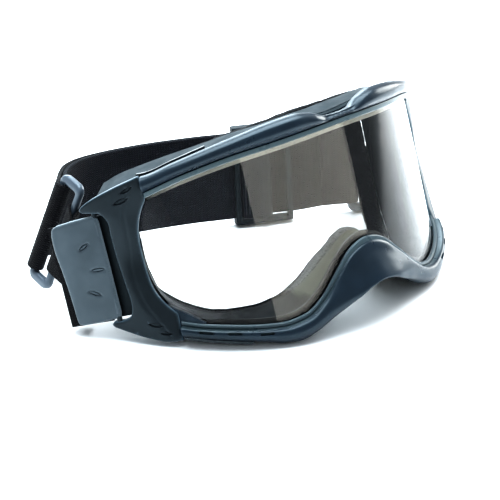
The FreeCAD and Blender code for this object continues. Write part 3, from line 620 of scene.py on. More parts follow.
# Outlines as (s, z) edges: s runs back from the end of the lens arc, and z up. Marks are (start, end, half width).
BRACKET_EDGES = [
    [(2.7, 14.2), (4.8, 7.8), (5.6, -1.7), (5.2, -11.9), (3.6, -19.2), (0.2, -25.2), (-3.3, -29.6)],
    [(-3.45, -35.0), (-3.3, -41.0)],
    [(3.5, -39.9), (10.5, -37.3), (18.0, -33.8), (23.8, -30.6)],
    [(25.0, -29.2), (24.0, -28.0)],
    [(19.0, -28.0), (15.9, -26.6), (14.6, -22.0), (15.5, -10.6), (16.5, -0.6), (16.5, 8.3), (16.3, 14.0),
     (18.4, 17.9), (22.0, 19.0), (26.0, 19.6)],
    [(27.4, 20.8), (26.2, 22.4)],
    [(22.6, 24.2), (16.7, 26.2), (8.1, 28.6), (-0.6, 30.6)],
    [(-1.3, 27.0), (-1.0, 20.4)],
]
BRACKET_BACK, BRACKET_FACE = 0.7, 4.9  # d of its two sides
BRACKET_SLITS = [((7.9, 25.0), (2.2, 26.9), 0.75), ((11.9, 21.0), (4.7, 22.7), 0.95),
                 ((9.3, -31.1), (3.2, -33.3), 0.85), ((5.0, -35.9), (-0.3, -37.1), 0.7)]
bracket_crease = smooth((-40, 1.0), (-28.6, 5.8), (-20.1, 9.5), (-8.9, 11.1), (3.8, 9.5), (14.5, 8.7), (30, 5.0),
                        even=False)
bracket_rear = smooth((-40, 14), (-28, 17), (-22, 14.6), (-10, 15.5), (0, 16.5), (14, 16.3), (20, 24), (30, 26),
                      even=False)
CLIP_EDGES = [
    [(31.0, 17.4), (38.6, 16.5)],
    [(41.1, 15.2), (42.0, 12.6)],
    [(42.1, 6.0), (41.2, -2.0), (40.3, -12.0), (39.9, -20.0), (39.8, -24.3)],
    [(39.2, -26.6), (37.0, -27.4)],
    [(30.0, -27.3), (22.4, -26.9)],
    [(20.5, -26.2), (19.9, -24.3)],
    [(19.9, -10.0), (20.0, 5.0), (20.1, 15.2)],
    [(20.8, 17.2), (23.0, 17.9)],
]
CLIP_BACK, CLIP_FACE = 2.9, 4.8
CLIP_EYES = [((31.4, 4.4), (26.5, 7.1), 0.8), ((28.5, -4.7), (22.0, -4.9), 0.8),
             ((31.6, -12.9), (26.1, -15.9), 0.8)]


def bracket_lift(points, reach):
    """Height of the bracket's face: a bevel down to the lens side, a low crown, leaf slits, rounded edges."""
    s, z = points.T
    crease, rear = bracket_crease(z), bracket_rear(z)
    bevel = 0.42 * np.log1p(np.exp((crease - s) / 0.4)) * 0.4 + 0.3 * np.exp(-((s - crease) / 0.55) ** 2)
    middle, half = (crease + rear) / 2, np.maximum((rear - crease) / 2, 2.5)
    crown = 0.35 * np.clip((s - middle) / half, -1.4, 1.4) ** 2 * (s > crease - 1.0)
    d = BRACKET_FACE - 1.0 * np.exp(-((z + 2) / 13) ** 2) - bevel
    d -= crown * (1 - np.exp(-np.maximum(s - crease + 1.0, 0)))
    for mark in BRACKET_SLITS:
        t, v = leaf_place(points, mark)
        edge = np.clip((1 - t * t) - np.abs(v), -0.2, 1)
        d -= 0.85 * np.clip((edge + 0.05) / 0.3, 0, 1) ** 1.5 * (np.abs(t) < 1)
    return d - brow(reach, 0.75)


def clip_lift(points, reach):
    """Height of the clip's face: crowned across, with three ridged leaf marks and rounded edges."""
    s, z = points.T
    d = CLIP_FACE - 0.75 * (np.clip(32.5 - s, 0, None) / 12.5) ** 2 - 0.25 * (np.clip(s - 34, 0, None) / 8) ** 2
    d -= 0.2 * ((z + 4.7) / 22) ** 2
    for mark in CLIP_EYES:
        t, v = leaf_place(points, mark)
        window = np.clip(1 - t * t, 0, 1)
        d -= 0.6 * np.exp(-((np.abs(v) - 0.75 * window) / 0.26) ** 2) * np.sqrt(window)
        d += 0.12 * np.exp(-(v / 0.4) ** 2) * window
    return d - brow(reach, 1.1)


HINGE = (21.6, 2.8)  # (s, d) of the clip's hinge
KNUCKLE = [(-24.9, 1.2), (-24.7, 1.35), (15.2, 1.35), (15.4, 1.2)]  # (z, radius) along the hinge
WEB = [(14.5, 0.4), (22.4, 0.4), (22.4, -0.5), (14.5, -0.5)]  # (s, d) corners of the hinge's web
WEB_Z = (-27.0, -26.8, 16.8, 17.0)


def make_plates(bracket_skin, clip_skin, web_skin):
    """On each side the bracket, the web that carries the hinge, and the clip with its hinge knuckle."""
    bracket, bracket_faces, reach = relief(outline_of(BRACKET_EDGES), bracket_lift, BRACKET_BACK, BRACKET_SLITS)
    clip, clip_faces, clip_reach = relief(outline_of(CLIP_EDGES), clip_lift, CLIP_BACK, CLIP_EYES)
    around = circle(28)
    z, radius = np.array(KNUCKLE).T[..., None]
    knuckle = np.stack([HINGE[0] + radius * np.cos(around), HINGE[1] + radius * np.sin(around), z + 0 * around], -1)
    shell, shell_faces = merge([(clip, clip_faces), (knuckle, grid_faces(*knuckle.shape[:2], False, True))])
    # The clip's outer half millimetre gets a lighter rim by tone: a painted edge highlight.
    clip_rim_highlight = np.concatenate([np.clip(1 - clip_reach / 0.5, 0, 1) * 0.6, np.zeros(len(shell) - len(clip))])
    for name, side in SIDES:
        plate = piece("bracket_" + name, on_side(side, *bracket.T), bracket_faces, bracket_skin,
                      slot="bracket_plastic", replaces=["side_bracket_" + name], crease=50)
        # Tone near the bracket's edges paints a lighter rim: a painted edge highlight.
        tone(plate, np.clip(1 - reach / 0.45, 0, 1))
        web = on_side(side, *np.array(WEB).T, np.array(WEB_Z)[:, None])
        tube("hinge_web_" + name, rounded(web, 0.0002, 3), web_skin, slot="bracket_plastic")
        cover = piece("clip_shell_" + name, on_side(side, *shell.T), shell_faces, clip_skin, body="clip_" + name,
                      slot="clip_plastic", replaces=["clip_plate_" + name], crease=50)
        tone(cover, clip_rim_highlight)


# ---- lens, soft body and foams ----
deck_front = smooth((0, 35.8), (14, 36.4), (34, 36.8), (48, 36.2), (62, 34.4), (75, 32.4), (88, 30.2))
deck_back = smooth((0, 37.5), (9, 37.6), (18, 37.5), (28.4, 37.1), (39, 36.9), (48.3, 36.5), (58.5, 35.6),
                   (72, 34.5), (84.7, 33.2))


LENS_T = 2.2
LENS_HIDDEN = 2.9  # how far the lens reaches behind each rail
RIB_PITCH, RIB_RISE = 1.5, 0.18  # of the vent strip
SKIRT_RINGS, FOAM_RINGS = 420, 560
SKIRT_OLIVE, FOAM_PALE = 0.0265, 0.024  # |x| in metres up to which the nose part is paler


def make_vent_strip(material):
    """Ribbed strip that closes the slot between the upper rail's dip and the deck."""
    u = np.linspace(-30, 30, 241)
    top = deck_front(u) - 0.25 + RIB_RISE * np.cos(2 * math.pi * u / RIB_PITCH)
    rings = along_lens(u, rounded(sections(u, (-2.9, top - 2.0), (-2.9, top - 0.3), (-6.6, top), (-6.6, top - 2.0)),
                                  0.3, 3, 2))
    tube("vent_strip", rings, material, slot="frame_plastic")


def make_lens(material):
    """The lens, reaching a little behind both rails and both brackets."""
    half = [(u, lip_top(u) + LENS_HIDDEN) for u in (0, 15, 30, 45, 60, 75, 86)]
    half += [(ARC_END + 4.0, 18.5), (ARC_END + 7.6, 8.0), (ARC_END + 8.4, -2.0), (ARC_END + 7.8, -12.0),
             (ARC_END + 4.6, -22.0)]
    half += [(u, lip_low(u) - LENS_HIDDEN) for u in (84, 74, 64, 54, 44, 36, 28, 20, 12, 6, 0)]
    half = np.array(half, float)
    loop = np.concatenate([half, half[-2:0:-1] * np.array([-1, 1])])
    outline = through(loop, 420, closed=True)
    points, faces, _ = relief(outline, lambda p, reach: -brow(reach, 0.25), -LENS_T, spacing=2.4,
                              rings=(0.12, 0.3, 1.2))
    return piece("lens_clear", place(wrap(*points.T)), faces, material, slot="lens", replaces=["lens"], crease=30)


SOFT_FRONT = -3.5  # d of the soft body's front face


def ring_stations():
    """(u, z, depth, back z, flare, out u, out z) round the soft body's right half, top centre to bottom centre."""
    rows = [(u, lip_top(u) + 1.2, 20.0, lip_top(u) + 2.0, flare, 0.0, 1.0)
            for u, flare in ((0, 0), (14, 0), (28, 0), (42, 0), (56, 0), (70, 0.5), (82, 2.0))]
    rows += [(ARC_END + 1.5, 18.5, 19.5, 20.0, 4.0, 0.55, 0.83), (ARC_END + 6.2, 9.0, 19.0, 9.0, 5.0, 1.0, 0.15),
             (ARC_END + 6.8, -2.0, 19.0, -3.0, 5.0, 1.0, 0.0), (ARC_END + 6.2, -12.0, 19.0, -14.0, 5.0, 1.0, -0.1),
             (ARC_END + 2.0, -23.5, 19.5, -26.0, 4.5, 0.7, -0.7)]
    depth = smooth((0, 8.5), (8, 9.5), (16, 13.0), (28, 18.0), (40, 20.0), (90, 20.0))
    rear = smooth((0, -16.6), (7, -18.6), (14, -24.0), (24, -31.6), (36, -37.1), (52, -38.8), (70, -37.8),
                  (90, -33.4))
    rows += [(u, lip_low(u) - 1.2, depth(u), rear(u), flare, 0.0, -1.0)
             for u, flare in ((82, 2.2), (72, 0.6), (62, 0), (52, 0), (43, 0), (36, 0), (29, 0), (22, 0), (16, 0),
                              (10, 0), (5, 0), (0, 0))]
    return np.array(rows, float)


def ring_rings(corners_of, count):
    """Closed rings round the soft body: corners_of(depth, out z) gives (d, outward) for each corner."""
    right = ring_stations()
    left = right[-2:0:-1] * np.array([-1, 1, 1, 1, -1, -1, 1])
    rows = []
    for u, z, depth, back_z, flare, out_u, out_z in np.concatenate([right, left]):
        row = []
        for d, out in corners_of(depth, out_z):
            share = (SOFT_FRONT - d) / (depth + SOFT_FRONT)
            height = z + (back_z - z) * min(share, 1.0)
            row.append(wrap(u + flare * share + out * out_u, d, height + out * out_z))
        rows.append(row)
    rows = np.array(rows)
    return np.moveaxis(through(np.moveaxis(rows, 0, 1), count, closed=True), 1, 0)


def skirt_corners(depth, _):
    """The skirt's wall, with a thicker flange behind the lens."""
    return [(SOFT_FRONT, 0.0), (-9.0, 0.0), (-depth, 0.0), (-depth, 1.6), (-9.0, 1.6), (-5.4, 1.6), (-5.4, 2.2),
            (SOFT_FRONT, 2.2)]


def foam_corners(depth, out_z):
    """The face foam behind the skirt, thinner along the lower edge and shallower over the nose."""
    inside, outside = -0.4, 6.0
    if out_z < -0.5:
        inside, outside = -1.2 + 1.8 * np.clip((depth - 9) / 9, 0, 1), 3.2
    deep = 8.5 if depth > 12 else 6.5
    return [(-depth - 0.1, inside), (-depth - deep, inside + 0.6), (-depth - deep, outside - 0.8),
            (-depth - 0.1, outside)]


def swell(rings, amount, size, seed):
    """Moves each point out from its ring's middle by smooth noise, in metres."""
    out = unit(rings - rings.mean(1, keepdims=True))
    return rings + out * (lumps(rings, size, seed) * amount)[..., None]


def tone(obj, values):
    """Stores a number per vertex that the piece's material reads."""
    layer = obj.data.attributes.new("tone", "FLOAT", "POINT")
    layer.data.foreach_set("value", np.asarray(values, np.float32).ravel())


def nose_tone(rings, width):
    """1 in the middle of the lower edge, over the nose, falling to 0 at a width in metres to either side."""
    low = rings[..., 2] < 0.045
    return np.clip((width - np.abs(rings[..., 0])) / 0.0015, 0, 1) * low


def make_soft(skirt_skin, foam_skin, filter_skin):
    """The skirt, the face foam, and the filter foams behind the top vent and the drain slots."""
    rings = place(rounded(ring_rings(skirt_corners, SKIRT_RINGS), 0.35, 3))
    skirt = tube("face_skirt_soft", rings, skirt_skin, close_rows=True, slot="soft_body", replaces=["face_skirt"],
                 crease=60)
    tone(skirt, nose_tone(rings, SKIRT_OLIVE))
    rings = place(rounded(ring_rings(foam_corners, FOAM_RINGS), 1.9, 6, 4))
    rings = swell(swell(rings, 0.00035, 0.0045, 1), 0.00014, 0.0013, 2)
    rings[..., 2] = np.maximum(rings[..., 2], 0.0002)
    foam = tube("face_foam_pad", rings, foam_skin, close_rows=True, slot="face_foam", replaces=["face_foam"],
                crease=180)
    tone(foam, nose_tone(rings, FOAM_PALE))

    u = np.linspace(-69.5, 69.5, 160)
    low, cover = lip_top(u) + 3.1, 1.95
    corners = sections(u, (-6.8, low), (-6.8, deck_front(u) - cover), (-17.0, deck_back(u) - cover),
                       (-17.0, low + 0.8))
    strips = [("top_vent_filter", u, corners, "top_vent_foam")]
    for name, side in SIDES:
        v = side * np.linspace(50.2, 81.8, 60)
        z = lip_low(v)
        corners = sections(v, (-3.65, z - 7.3), (-3.65, z - 3.8), (-5.15, z - 4.0), (-5.15, z - 6.9))
        strips.append(("low_vent_filter_" + name, v, corners, "low_vent_foam_" + name))
    for name, v, corners, node in strips:
        rings = along_lens(v, rounded(corners, 0.35, 4, 2))
        strip = tube(name, swell(rings, 0.0001, 0.0012, 3), filter_skin, slot="filter_foam", replaces=[node],
                     crease=180)


# ---- strap, buckles, slider ----
# In stood millimetres. The strap runs as rows of (lower edge, upper edge) and is straight where the slider rides.
STRAP_W = 40.6
STRAP_T = 1.8
LAYER = 1.05  # from the strap's middle to the middle of either layer
BAR_TURN = 2.85  # radius of the strap's middle line round a buckle's far bar
SEAM = 18.6  # half length of a seam across the strap
TAB_W, TAB_T = 30.4, 1.3
TAB_TURN = 2.5  # radius of the tab's middle line round the buckle's near bar
TAB_SEAM = 13.5
STRAIGHT = np.array([[0.0, 101.8, 3.5], [56.0, 72.8, 3.5]])
STRAIGHT_LEAN = np.array([3.4, 6.7, 40.3])
ROUTE = [((-93.4, 102.4, 13.6), (-80.6, 95.4, 51.9)), ((-84.0, 110.2, 10.6), (-72.2, 106.6, 49.8)),
         ((-71.0, 115.0, 7.4), (-62.4, 115.6, 47.6)), ((-56.0, 117.0, 5.2), (-51.2, 120.6, 45.8)),
         ((-40.0, 115.8, 4.0), (-37.0, 121.4, 44.5)), ((-21.0, 110.4, 3.6), (-18.2, 117.2, 44.0))]
ROUTE += [(low, low + STRAIGHT_LEAN) for low in (STRAIGHT[0] + t * (STRAIGHT[1] - STRAIGHT[0])
                                                 for t in (0.0, 0.2, 0.4, 0.6, 0.8, 1.0))]
# Each buckle's near bar: its middle, and directions along the bar and on to the far bar.
BUCKLES = {-1: ((-91.0, 82.8, 31.8), (0.31, -0.165, 0.936), (0.10, 0.975, 0.14)),
           1: ((80.8, 64.6, 24.9), (0.083, 0.163, 0.983), (-0.888, 0.460, 0.0))}
BUCKLE_REACH = 12.0  # between the middles of a buckle's two long bars
SLIDER_AT = 33.0  # from the start of the straight to the slider's middle bar
PITCH = 0.5  # between the rings of the strap
CUT_LEFT, CUT_RIGHT = 52, -47  # x where the elastic is cut into pieces


def arc(centre, ahead, aside, radius, degrees, across):
    """Rows of (point, across) round a bar, from straight ahead towards aside."""
    return [(centre + ahead * radius * math.cos(a) + aside * radius * math.sin(a), across)
            for a in map(math.radians, degrees)]


def buckle_frame(side):
    """Origin, direction along the near bar, direction to the far bar, and normal."""
    origin, along, across = (np.array(v) for v in BUCKLES[side])
    along = unit(along)
    out = unit(np.cross(along, across))
    return origin, along, np.cross(out, along), out


def slider_frame():
    """Middle of the slider, direction along the strap, direction up across it, and normal."""
    run, up = unit(STRAIGHT[1] - STRAIGHT[0]), unit(STRAIGHT_LEAN)
    out = np.cross(run, up)
    return STRAIGHT[0] + run * SLIDER_AT + STRAIGHT_LEAN / 2, run, up, out


def turn(side):
    """The strap's middle line round a buckle's far bar, as (point, across), and the axes that it was drawn in."""
    origin, along, across, _ = buckle_frame(side)
    centre = origin + across * BUCKLE_REACH
    low, high = ROUTE[0] if side < 0 else ROUTE[-1]
    away = (np.array(low) + high) / 2 - centre
    away = unit(away - along * (away @ along))
    forward = np.cross(away, along) * -side
    rows = [(centre + away * 3.2 - forward * 2.2, along)]
    rows += arc(centre, -forward, -away, BAR_TURN, (0, 30, 60, 90, 120, 150, 180), along)
    rows += [(centre + away * 3.2 + forward * 2.2, along)]
    return rows, centre, away, forward, along


def strap_line():
    """The whole strap from its sewn left end to the flap in the slider, as rows of (point, across)."""
    lows, highs = (np.array([r[k] for r in ROUTE], float) for k in (0, 1))
    middles, across = (lows + highs) / 2, unit(highs - lows)
    runs = unit(np.gradient(middles, axis=0))
    forward = unit(np.cross(runs, across))
    far, near = middles - forward * LAYER, middles + forward * LAYER

    left, centre, away, ahead, along = turn(1)
    rows = [(centre + away * 15.0 + ahead * LAYER * 1.05, along), (centre + away * 9.0 + ahead * 1.25, along)]
    rows += left[::-1]
    rows += [(centre + away * 8.0 - ahead * 1.2, along)]
    rows += [(far[i], across[i]) for i in range(len(ROUTE) - 2, 0, -1)]
    rows += turn(-1)[0]
    slider, run, up, out = slider_frame()
    rows += [(near[i], across[i]) for i in range(1, 8)]
    for x, z in ((-16, 1.05), (-9, 1.05), (-2, 1.05), (0.9, 1.1), (2.45, 1.9), (2.9, 3.15), (2.4, 4.5), (0.9, 5.25),
                 (-1.5, 5.15), (-4.2, 3.9), (-6.6, 2.95), (-10.2, 2.9)):
        rows.append((slider + run * x + out * z, up))
    points, ups = (np.array([r[k] for r in rows]) for k in (0, 1))
    both_ways = through(np.concatenate([points, ups * 20], 1), 4000)
    length = run_length(both_ways[:, :3])
    at = np.linspace(0, length[-1], int(length[-1] / PITCH))
    both_ways = np.stack([np.interp(at, length, both_ways[:, k]) for k in range(6)], 1)
    return both_ways[:, :3], unit(both_ways[:, 3:]), at


def band(name, points, across, at, width, thick, material, close_rows=False, **about):
    """Webbing along points, its width along across, with a UV map in metres: along the band, then across it."""
    normal = unit(np.cross(heading(points, close_rows), across))
    w, t = across * width / 2, normal * thick / 2
    corners = np.stack([points - w - t, points + w - t, points + w + t, points - w + t], 1)
    rings = rounded(corners, thick * 0.34, 4, 12)
    obj = tube(name, ground(rings), material, close_rows=close_rows, crease=60, **about)
    aside = ((rings - points[:, None]) * across[:, None]).sum(-1)
    uv = np.stack([np.broadcast_to(at[:, None], aside.shape), aside], -1).reshape(-1, 2) * MM
    corner = np.zeros(len(obj.data.loops), int)
    obj.data.loops.foreach_get("vertex_index", corner)
    obj.data.uv_layers.new(name="UVMap").data.foreach_set("uv", uv[corner].ravel())
    return obj


def stitch(start, end, radius=0.22):
    """One raised stitch between two points, with pointed ends."""
    axis = end - start
    side = unit(np.cross(axis, [0.3, 0.5, 0.8]))
    other = unit(np.cross(axis, side))
    around = circle(6)
    rows = []
    for t, r in ((0.0, 0.35), (0.2, 0.9), (0.5, 1.0), (0.8, 0.9), (1.0, 0.35)):
        centre = start + axis * t
        rows.append([centre + radius * r * (side * math.cos(a) + other * math.sin(a)) for a in around])
    return np.array(rows), grid_faces(len(rows), len(around), False, True)


def sew(name, middles, half, thread, pitch=1.9, **about):
    """A piece of seams, one through each middle point, reaching half to either side of it."""
    parts = []
    for middle in middles:
        start, end = middle - half, middle + half
        count = max(int(np.linalg.norm(end - start) / pitch), 1)
        step = (end - start) / count
        parts += [stitch(start + step * (i + 0.12), start + step * (i + 0.88)) for i in range(count)]
    points, faces = merge(parts)
    return piece(name, ground(points), faces, thread, slot="webbing", **about)


def make_strap(skin, thread):
    """The strap in pieces, each hiding the CAD nodes it replaces; its near layer shows the smooth inner face."""
    points, across, at = strap_line()
    x = points[:, 0]
    right_end, left_end = x.argmin(), x.argmax()
    index = np.arange(len(x))
    far = (index > left_end) & (index < right_end)
    near = index > right_end
    inner = np.clip((at - at[right_end] - 1.0) / 5.0, 0, 1)
    cuts = [0] + [index[far & (x > cut)].max() for cut in (CUT_LEFT, 0, CUT_RIGHT)]
    cuts += [index[near & (x < cut)].max() for cut in (CUT_RIGHT, 0)] + [len(x) - 1]
    _, centre_r, away_r, _, _ = turn(-1)
    _, centre_l, away_l, ahead_l, along_l = turn(1)
    slider, run, up, out = slider_frame()
    # Piece, the body before and after its bend, where the bend starts and ends, and the CAD nodes it replaces.
    plans = [("strap_left_end", "clip_left", "buckle_left", centre_l + away_l * 14, centre_l + away_l * 4,
              ["strap_run_left", "strap_loop_left"]),
             ("strap_back_left", "goggle", "clip_left", points[cuts[2]], points[cuts[1]], ["strap_back"]),
             ("strap_back_right", "goggle", "clip_right", points[cuts[2]], points[cuts[3]], []),
             ("strap_right_turn", "clip_right", "buckle_right", centre_r + away_r * 30, centre_r + away_r * 4,
              ["strap_run_right", "strap_loop_right"]),
             ("strap_near_right", "goggle", "clip_right", points[cuts[5]], points[cuts[4]], ["strap_return"]),
             ("strap_slider_end", "goggle", "slider", slider - run * 30, slider - run * 13, ["slider_loop"])]
    for (name, a, b, start, end, nodes), first, last in zip(plans, cuts, cuts[1:]):
        part = slice(first, last + 1)
        obj = band(name, points[part], across[part], at[part], STRAP_W, STRAP_T, skin, body=None,
                   slot="strap_elastic")
        tone(obj, np.repeat(inner[part], len(obj.data.vertices) // (last + 1 - first)))
        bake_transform(obj)
        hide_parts(*nodes)

    sew("slider_stitches", [slider + run * x + out * 3.85 for x in (-9.0, -7.4)], up * SEAM, thread, body="slider")
    seam = sew("left_end_stitches", [centre_l + away_l * t + ahead_l * 2.15 for t in (11.0, 13.0)], along_l * SEAM,
               thread, body=None)
    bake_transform(seam)


def make_tabs(skin, thread):
    """Webbing looped round the clip's strap bar and the buckle's near bar, and the liner under the clip plate."""
    for name, side in SIDES:
        ends = stood(wrap(side * (ARC_END + 38.0), -3.5, np.array([-27.5, 15.4])))
        bar, bar_along = ends.mean(0), unit(ends[1] - ends[0])
        origin, along, _, _ = buckle_frame(side)
        run = unit(origin - bar)
        reach = np.linalg.norm(origin - bar)
        out = unit(np.cross(bar_along + along, run))
        legs = [[(bar + run * reach * t + out * lift * face, bar_along * (1 - t) + along * t)
                 for t, lift in ((0.0, 2.05), (0.35, 0.85), (0.65, 0.85))] for face in (1, -1)]
        rows = legs[0] + arc(origin, run, out, TAB_TURN, (90, 50, 0, -50, -90), along) + legs[1][::-1]
        rows += [(bar - run * 1.5 - out * 1.4, bar_along), (bar - run * 2.05, bar_along),
                 (bar - run * 1.5 + out * 1.4, bar_along)]
        loop = through(np.array([np.concatenate([p, 20 * unit(a)]) for p, a in rows]), 110, closed=True)
        middles = loop[:, :3]
        band("webbing_tab_loop_" + name, middles, unit(loop[:, 3:]), run_length(middles), TAB_W, TAB_T, skin,
             close_rows=True, body="buckle_" + name, slot="webbing", replaces=["webbing_tab_" + name])
        sew("tab_stitches_" + name, [bar + run * reach * 0.5 + out * face * 1.55 for face in (-1, 1)],
            unit(bar_along + along) * TAB_SEAM, thread, body="buckle_" + name)

        s = np.linspace(24.2, 43.1, 40)
        middles = stood(wrap(side * (ARC_END + s), 2.1, -5.9))
        ups = np.broadcast_to(bar_along, middles.shape)
        band("clip_liner_web_" + name, middles, ups, s, 43.6, 1.5, skin, body="clip_" + name, slot="webbing",
             replaces=["clip_liner_" + name])


def bar_tube(frame_axes, path, wide, thick, close_rows, roundness=0.42):
    """Rings of a bar along a path drawn in a frame's first two axes; wide in the plane, thick through it."""
    origin, a, b, c = frame_axes
    path = np.array(path, float)
    run = heading(path, close_rows)
    side = np.stack([-run[:, 1], run[:, 0]], -1)
    wide, thick = (np.broadcast_to(np.asarray(v, float) / 2, len(path))[:, None] for v in (wide, thick))

    def at(k, j):
        p = path + side * wide * k
        return origin + p[:, :1] * a + p[:, 1:] * b + c * thick * j

    corners = np.stack([at(-1, -1), at(1, -1), at(1, 1), at(-1, 1)], 1)
    return rounded(corners, 2 * roundness * np.minimum(wide, thick)[..., None].reshape(-1, 1, 1), 6, 1)


def rounded_loop(x0, x1, y0, y1, radius, count=12):
    """A closed rectangle path with round corners."""
    rows = []
    for cx, cy, start in ((x1 - radius, y1 - radius, 0), (x0 + radius, y1 - radius, 90),
                          (x0 + radius, y0 + radius, 180), (x1 - radius, y0 + radius, 270)):
        for angle in np.radians(np.linspace(start, start + 90, count)):
            rows.append((cx + radius * math.cos(angle), cy + radius * math.sin(angle)))
    return rows


def make_hardware(buckle_skin, slider_skin):
    """Both buckles, thicker at their ends, and the three-bar slider with its two end rails."""
    for name, side in SIDES:
        path = np.array(rounded_loop(-23.1, 23.1, 0.0, BUCKLE_REACH, 2.6))
        at_end = np.clip((np.abs(path[:, 0]) - 19.5) / 3.0, 0, 1)
        rings = bar_tube(buckle_frame(side), path, 2.8 + 1.5 * at_end, 2.7 + 0.8 * at_end, True)
        tube("buckle_loop_" + name, ground(rings), buckle_skin, close_rows=True, body="buckle_" + name,
             slot="buckle_plastic", replaces=["strap_buckle_" + name])
    origin, run, up, out = slider_frame()
    parts = []
    for x in (-12.5, 0.0, 12.5):
        path = [(x, y) for y in (-22, -21, 0, 21, 22)]
        rings = bar_tube((origin + out * 3.15, run, up, out), path, 2.9, 1.7, False)
        parts.append((rings, grid_faces(*rings.shape[:2], False, True)))
    for y in (-22.2, 22.2):
        outline = np.array([(-14, -2.6), (14, -2.6), (14, 4.0), (-14, 4.0)], float)
        rows = []
        for depth, inset in ((-1.2, 0.35), (-0.85, 0.0), (0.85, 0.0), (1.2, 0.35)):
            flat = rounded(outline * (1 - inset / np.array([14.0, 3.3])), 1.6, 6, 2)
            rows.append(origin + flat[:, :1] * run + flat[:, 1:] * out + up * (y + depth))
        parts.append((np.array(rows), grid_faces(4, len(rows[0]), False, True)))
    points, faces = merge(parts)
    piece("slider_frame", ground(points), faces, slider_skin, body="slider", slot="slider_plastic",
          replaces=["strap_slider"])


# ---- stage, lights and camera ----
def make_stage():
    bpy.ops.mesh.primitive_plane_add(size=8, location=(0, 0, 0))
    floor = bpy.context.object
    floor.name = "floor"
    floor.data.materials.append(Shader("floor_white", (0.9, 0.9, 0.9), 0.6, Specular_IOR_Level=0.2).material)
    return floor


def area_light(name, spot, target, size, power, color, only=None):
    """A softbox; with only, it lights that one object."""
    lamp = bpy.data.lights.new(name, "AREA")
    lamp.shape = "RECTANGLE"
    lamp.size, lamp.size_y = size
    lamp.energy = power
    lamp.color = color
    rig = bpy.data.objects.new(name, lamp)
    bpy.context.scene.collection.objects.link(rig)
    rig.location = spot
    rig.visible_camera = False
    if only:
        lit = bpy.data.collections.new(name + "_lights")
        lit.objects.link(only)
        rig.light_linking.receiver_collection = lit
    rig.rotation_euler = (Vector(target) - Vector(spot)).to_track_quat("-Z", "Y").to_euler()


def make_light(floor, lens):
    """Soft studio light, a panel that only the lens mirrors, and a card that brightens the floor beside it."""
    world = bpy.data.worlds.new("studio")
    world.use_nodes = True
    world.node_tree.nodes["Background"].inputs["Color"].default_value = (0.86, 0.94, 1.0, 1)
    world.node_tree.nodes["Background"].inputs["Strength"].default_value = 0.55
    bpy.context.scene.world = world
    bpy.context.scene.view_settings.view_transform = "Standard"
    bpy.context.scene.view_settings.look = "High Contrast"
    area_light("top_softbox", (0.1, 0.25, 1.1), (0, 0, 0), (1.3, 1.0), 26.0, (0.86, 0.95, 1.0))
    area_light("back_softbox", (0.35, 0.95, 0.45), (0, 0, 0.03), (0.9, 0.5), 8.0, (0.80, 0.93, 1.0))
    area_light("right_softbox", (1.0, 0.0, 0.35), (0, 0, 0.04), (0.6, 0.5), 6.0, (1.0, 0.99, 0.95))
    area_light("veil_panel", (0.32, -1.45, 0.27), (0.0, 0.0, 0.05), (1.85, 0.5), 11.0, (1.0, 0.98, 0.88), lens)
    area_light("floor_card", (0.42, 0.12, 0.5), (0.38, 0.1, 0.0), (0.5, 0.4), 4.0, (0.9, 0.96, 1.0), floor)


def make_camera():
    """A long lens from the wearer's right and above, as in the photo."""
    azimuth, elevation = math.radians(-42.77), math.radians(26.17)
    back = Vector((math.sin(azimuth) * math.cos(elevation), -math.cos(azimuth) * math.cos(elevation),
                   math.sin(elevation)))
    right = Vector((math.cos(azimuth), math.sin(azimuth), 0))
    camera = bpy.data.cameras.new("photo_camera")
    camera.lens, camera.sensor_width = 136.2, 36.0
    rig = bpy.data.objects.new("photo_camera", camera)
    rig.matrix_world = Matrix((right, back.cross(right), back)).transposed().to_4x4()
    rig.location = (-0.5269, -0.5570, 0.3842)
    bpy.context.scene.collection.objects.link(rig)
    bpy.context.scene.camera = rig


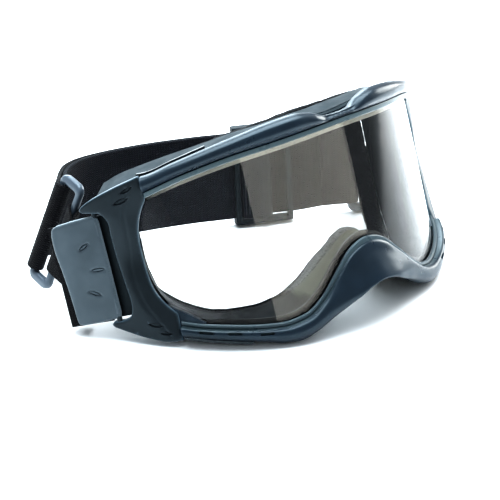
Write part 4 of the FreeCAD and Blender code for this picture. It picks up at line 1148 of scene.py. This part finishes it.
# ---- the goggles ----
def build():
    # The rim colour here is the painted highlight along the rails' lips.
    make_front(moulded("frame_satin", (0.009, 0.017, 0.028), 0.31, coat=0.12, rub_and_highlight=0.25, rim_highlight=(0.085, 0.115, 0.125)))
    polished = {"grain": 2600, "depth": 0.00002}
    # The bracket and clip rim colours are painted edge highlights.
    bracket_skin = moulded("bracket_satin", (0.013, 0.016, 0.019), 0.33, **polished, coat=0.08, rub_and_highlight=0.2,
                           specular=0.4, rim_highlight=(0.10, 0.15, 0.19))
    clip_skin = moulded("clip_satin", (0.075, 0.092, 0.106), 0.33, **polished, coat=0.15, rub_and_highlight=0.25,
                        rub_highlight_color=(0.3, 0.35, 0.4), rim_highlight=(0.30, 0.35, 0.38))
    make_plates(bracket_skin, clip_skin, moulded("web_black", (0.004, 0.005, 0.006), 0.55))
    paint(moulded("tongue_satin", (0.020, 0.024, 0.027), 0.27, **polished, coat=0.2),
          *both("upper_tongue", "lower_tongue"))
    paint(moulded("clip_back_plastic", (0.012, 0.014, 0.017), 0.45), *both("clip_back"))
    lens = make_lens(clear_lens())
    paint(seal_rubber(), "lens_seal")
    make_soft(skirt_rubber(), foam("face_foam_flocked", (0.006, 0.006, 0.007), (0.12, 0.125, 0.125), 900.0),
              foam("filter_foam", (0.012, 0.012, 0.013), (0.05, 0.05, 0.05), 1300.0))
    deck_skin = moulded("deck_satin", (0.010, 0.017, 0.022), 0.58, grain=1100, depth=0.00006, specular=0.22)
    paint(deck_skin, "top_vent_cover")
    make_vent_strip(deck_skin)
    webbing = fabric("webbing_black", (0.0035, 0.0035, 0.0045), (0.026, 0.025, 0.027), 0.0013, 0.00035)
    elastic = fabric("elastic_black", (0.0035, 0.0035, 0.0045), (0.024, 0.023, 0.025), 0.0013, 0.00030,
                     inner=(0.0045, 0.0055, 0.0085))
    thread = moulded("thread_black", (0.02, 0.02, 0.024), 0.5, grain=3500, depth=0.00005)
    make_strap(elastic, thread)
    make_tabs(webbing, thread)
    make_hardware(moulded("buckle_grey", (0.085, 0.105, 0.130), 0.30, coat=0.3, rub_and_highlight=0.4, rub_highlight_color=(0.4, 0.47, 0.52)),
                  moulded("slider_black", (0.006, 0.008, 0.010), 0.5, specular=0.25))
    steel = Shader("steel_bright", (0.6, 0.6, 0.6), 0.25, Metallic=1.0)
    paint(steel.finish(roughness=steel.spread(steel.noise(700.0, 4.0), 0.3, 0.7, 0.18, 0.35)),
          *both("strap_bar", "clip_rivets"))
    paint(moulded("pin_black", (0.010, 0.011, 0.013), 0.4), *both("hinge_pin"))
    return lens


make_camera()
make_light(make_stage(), build())
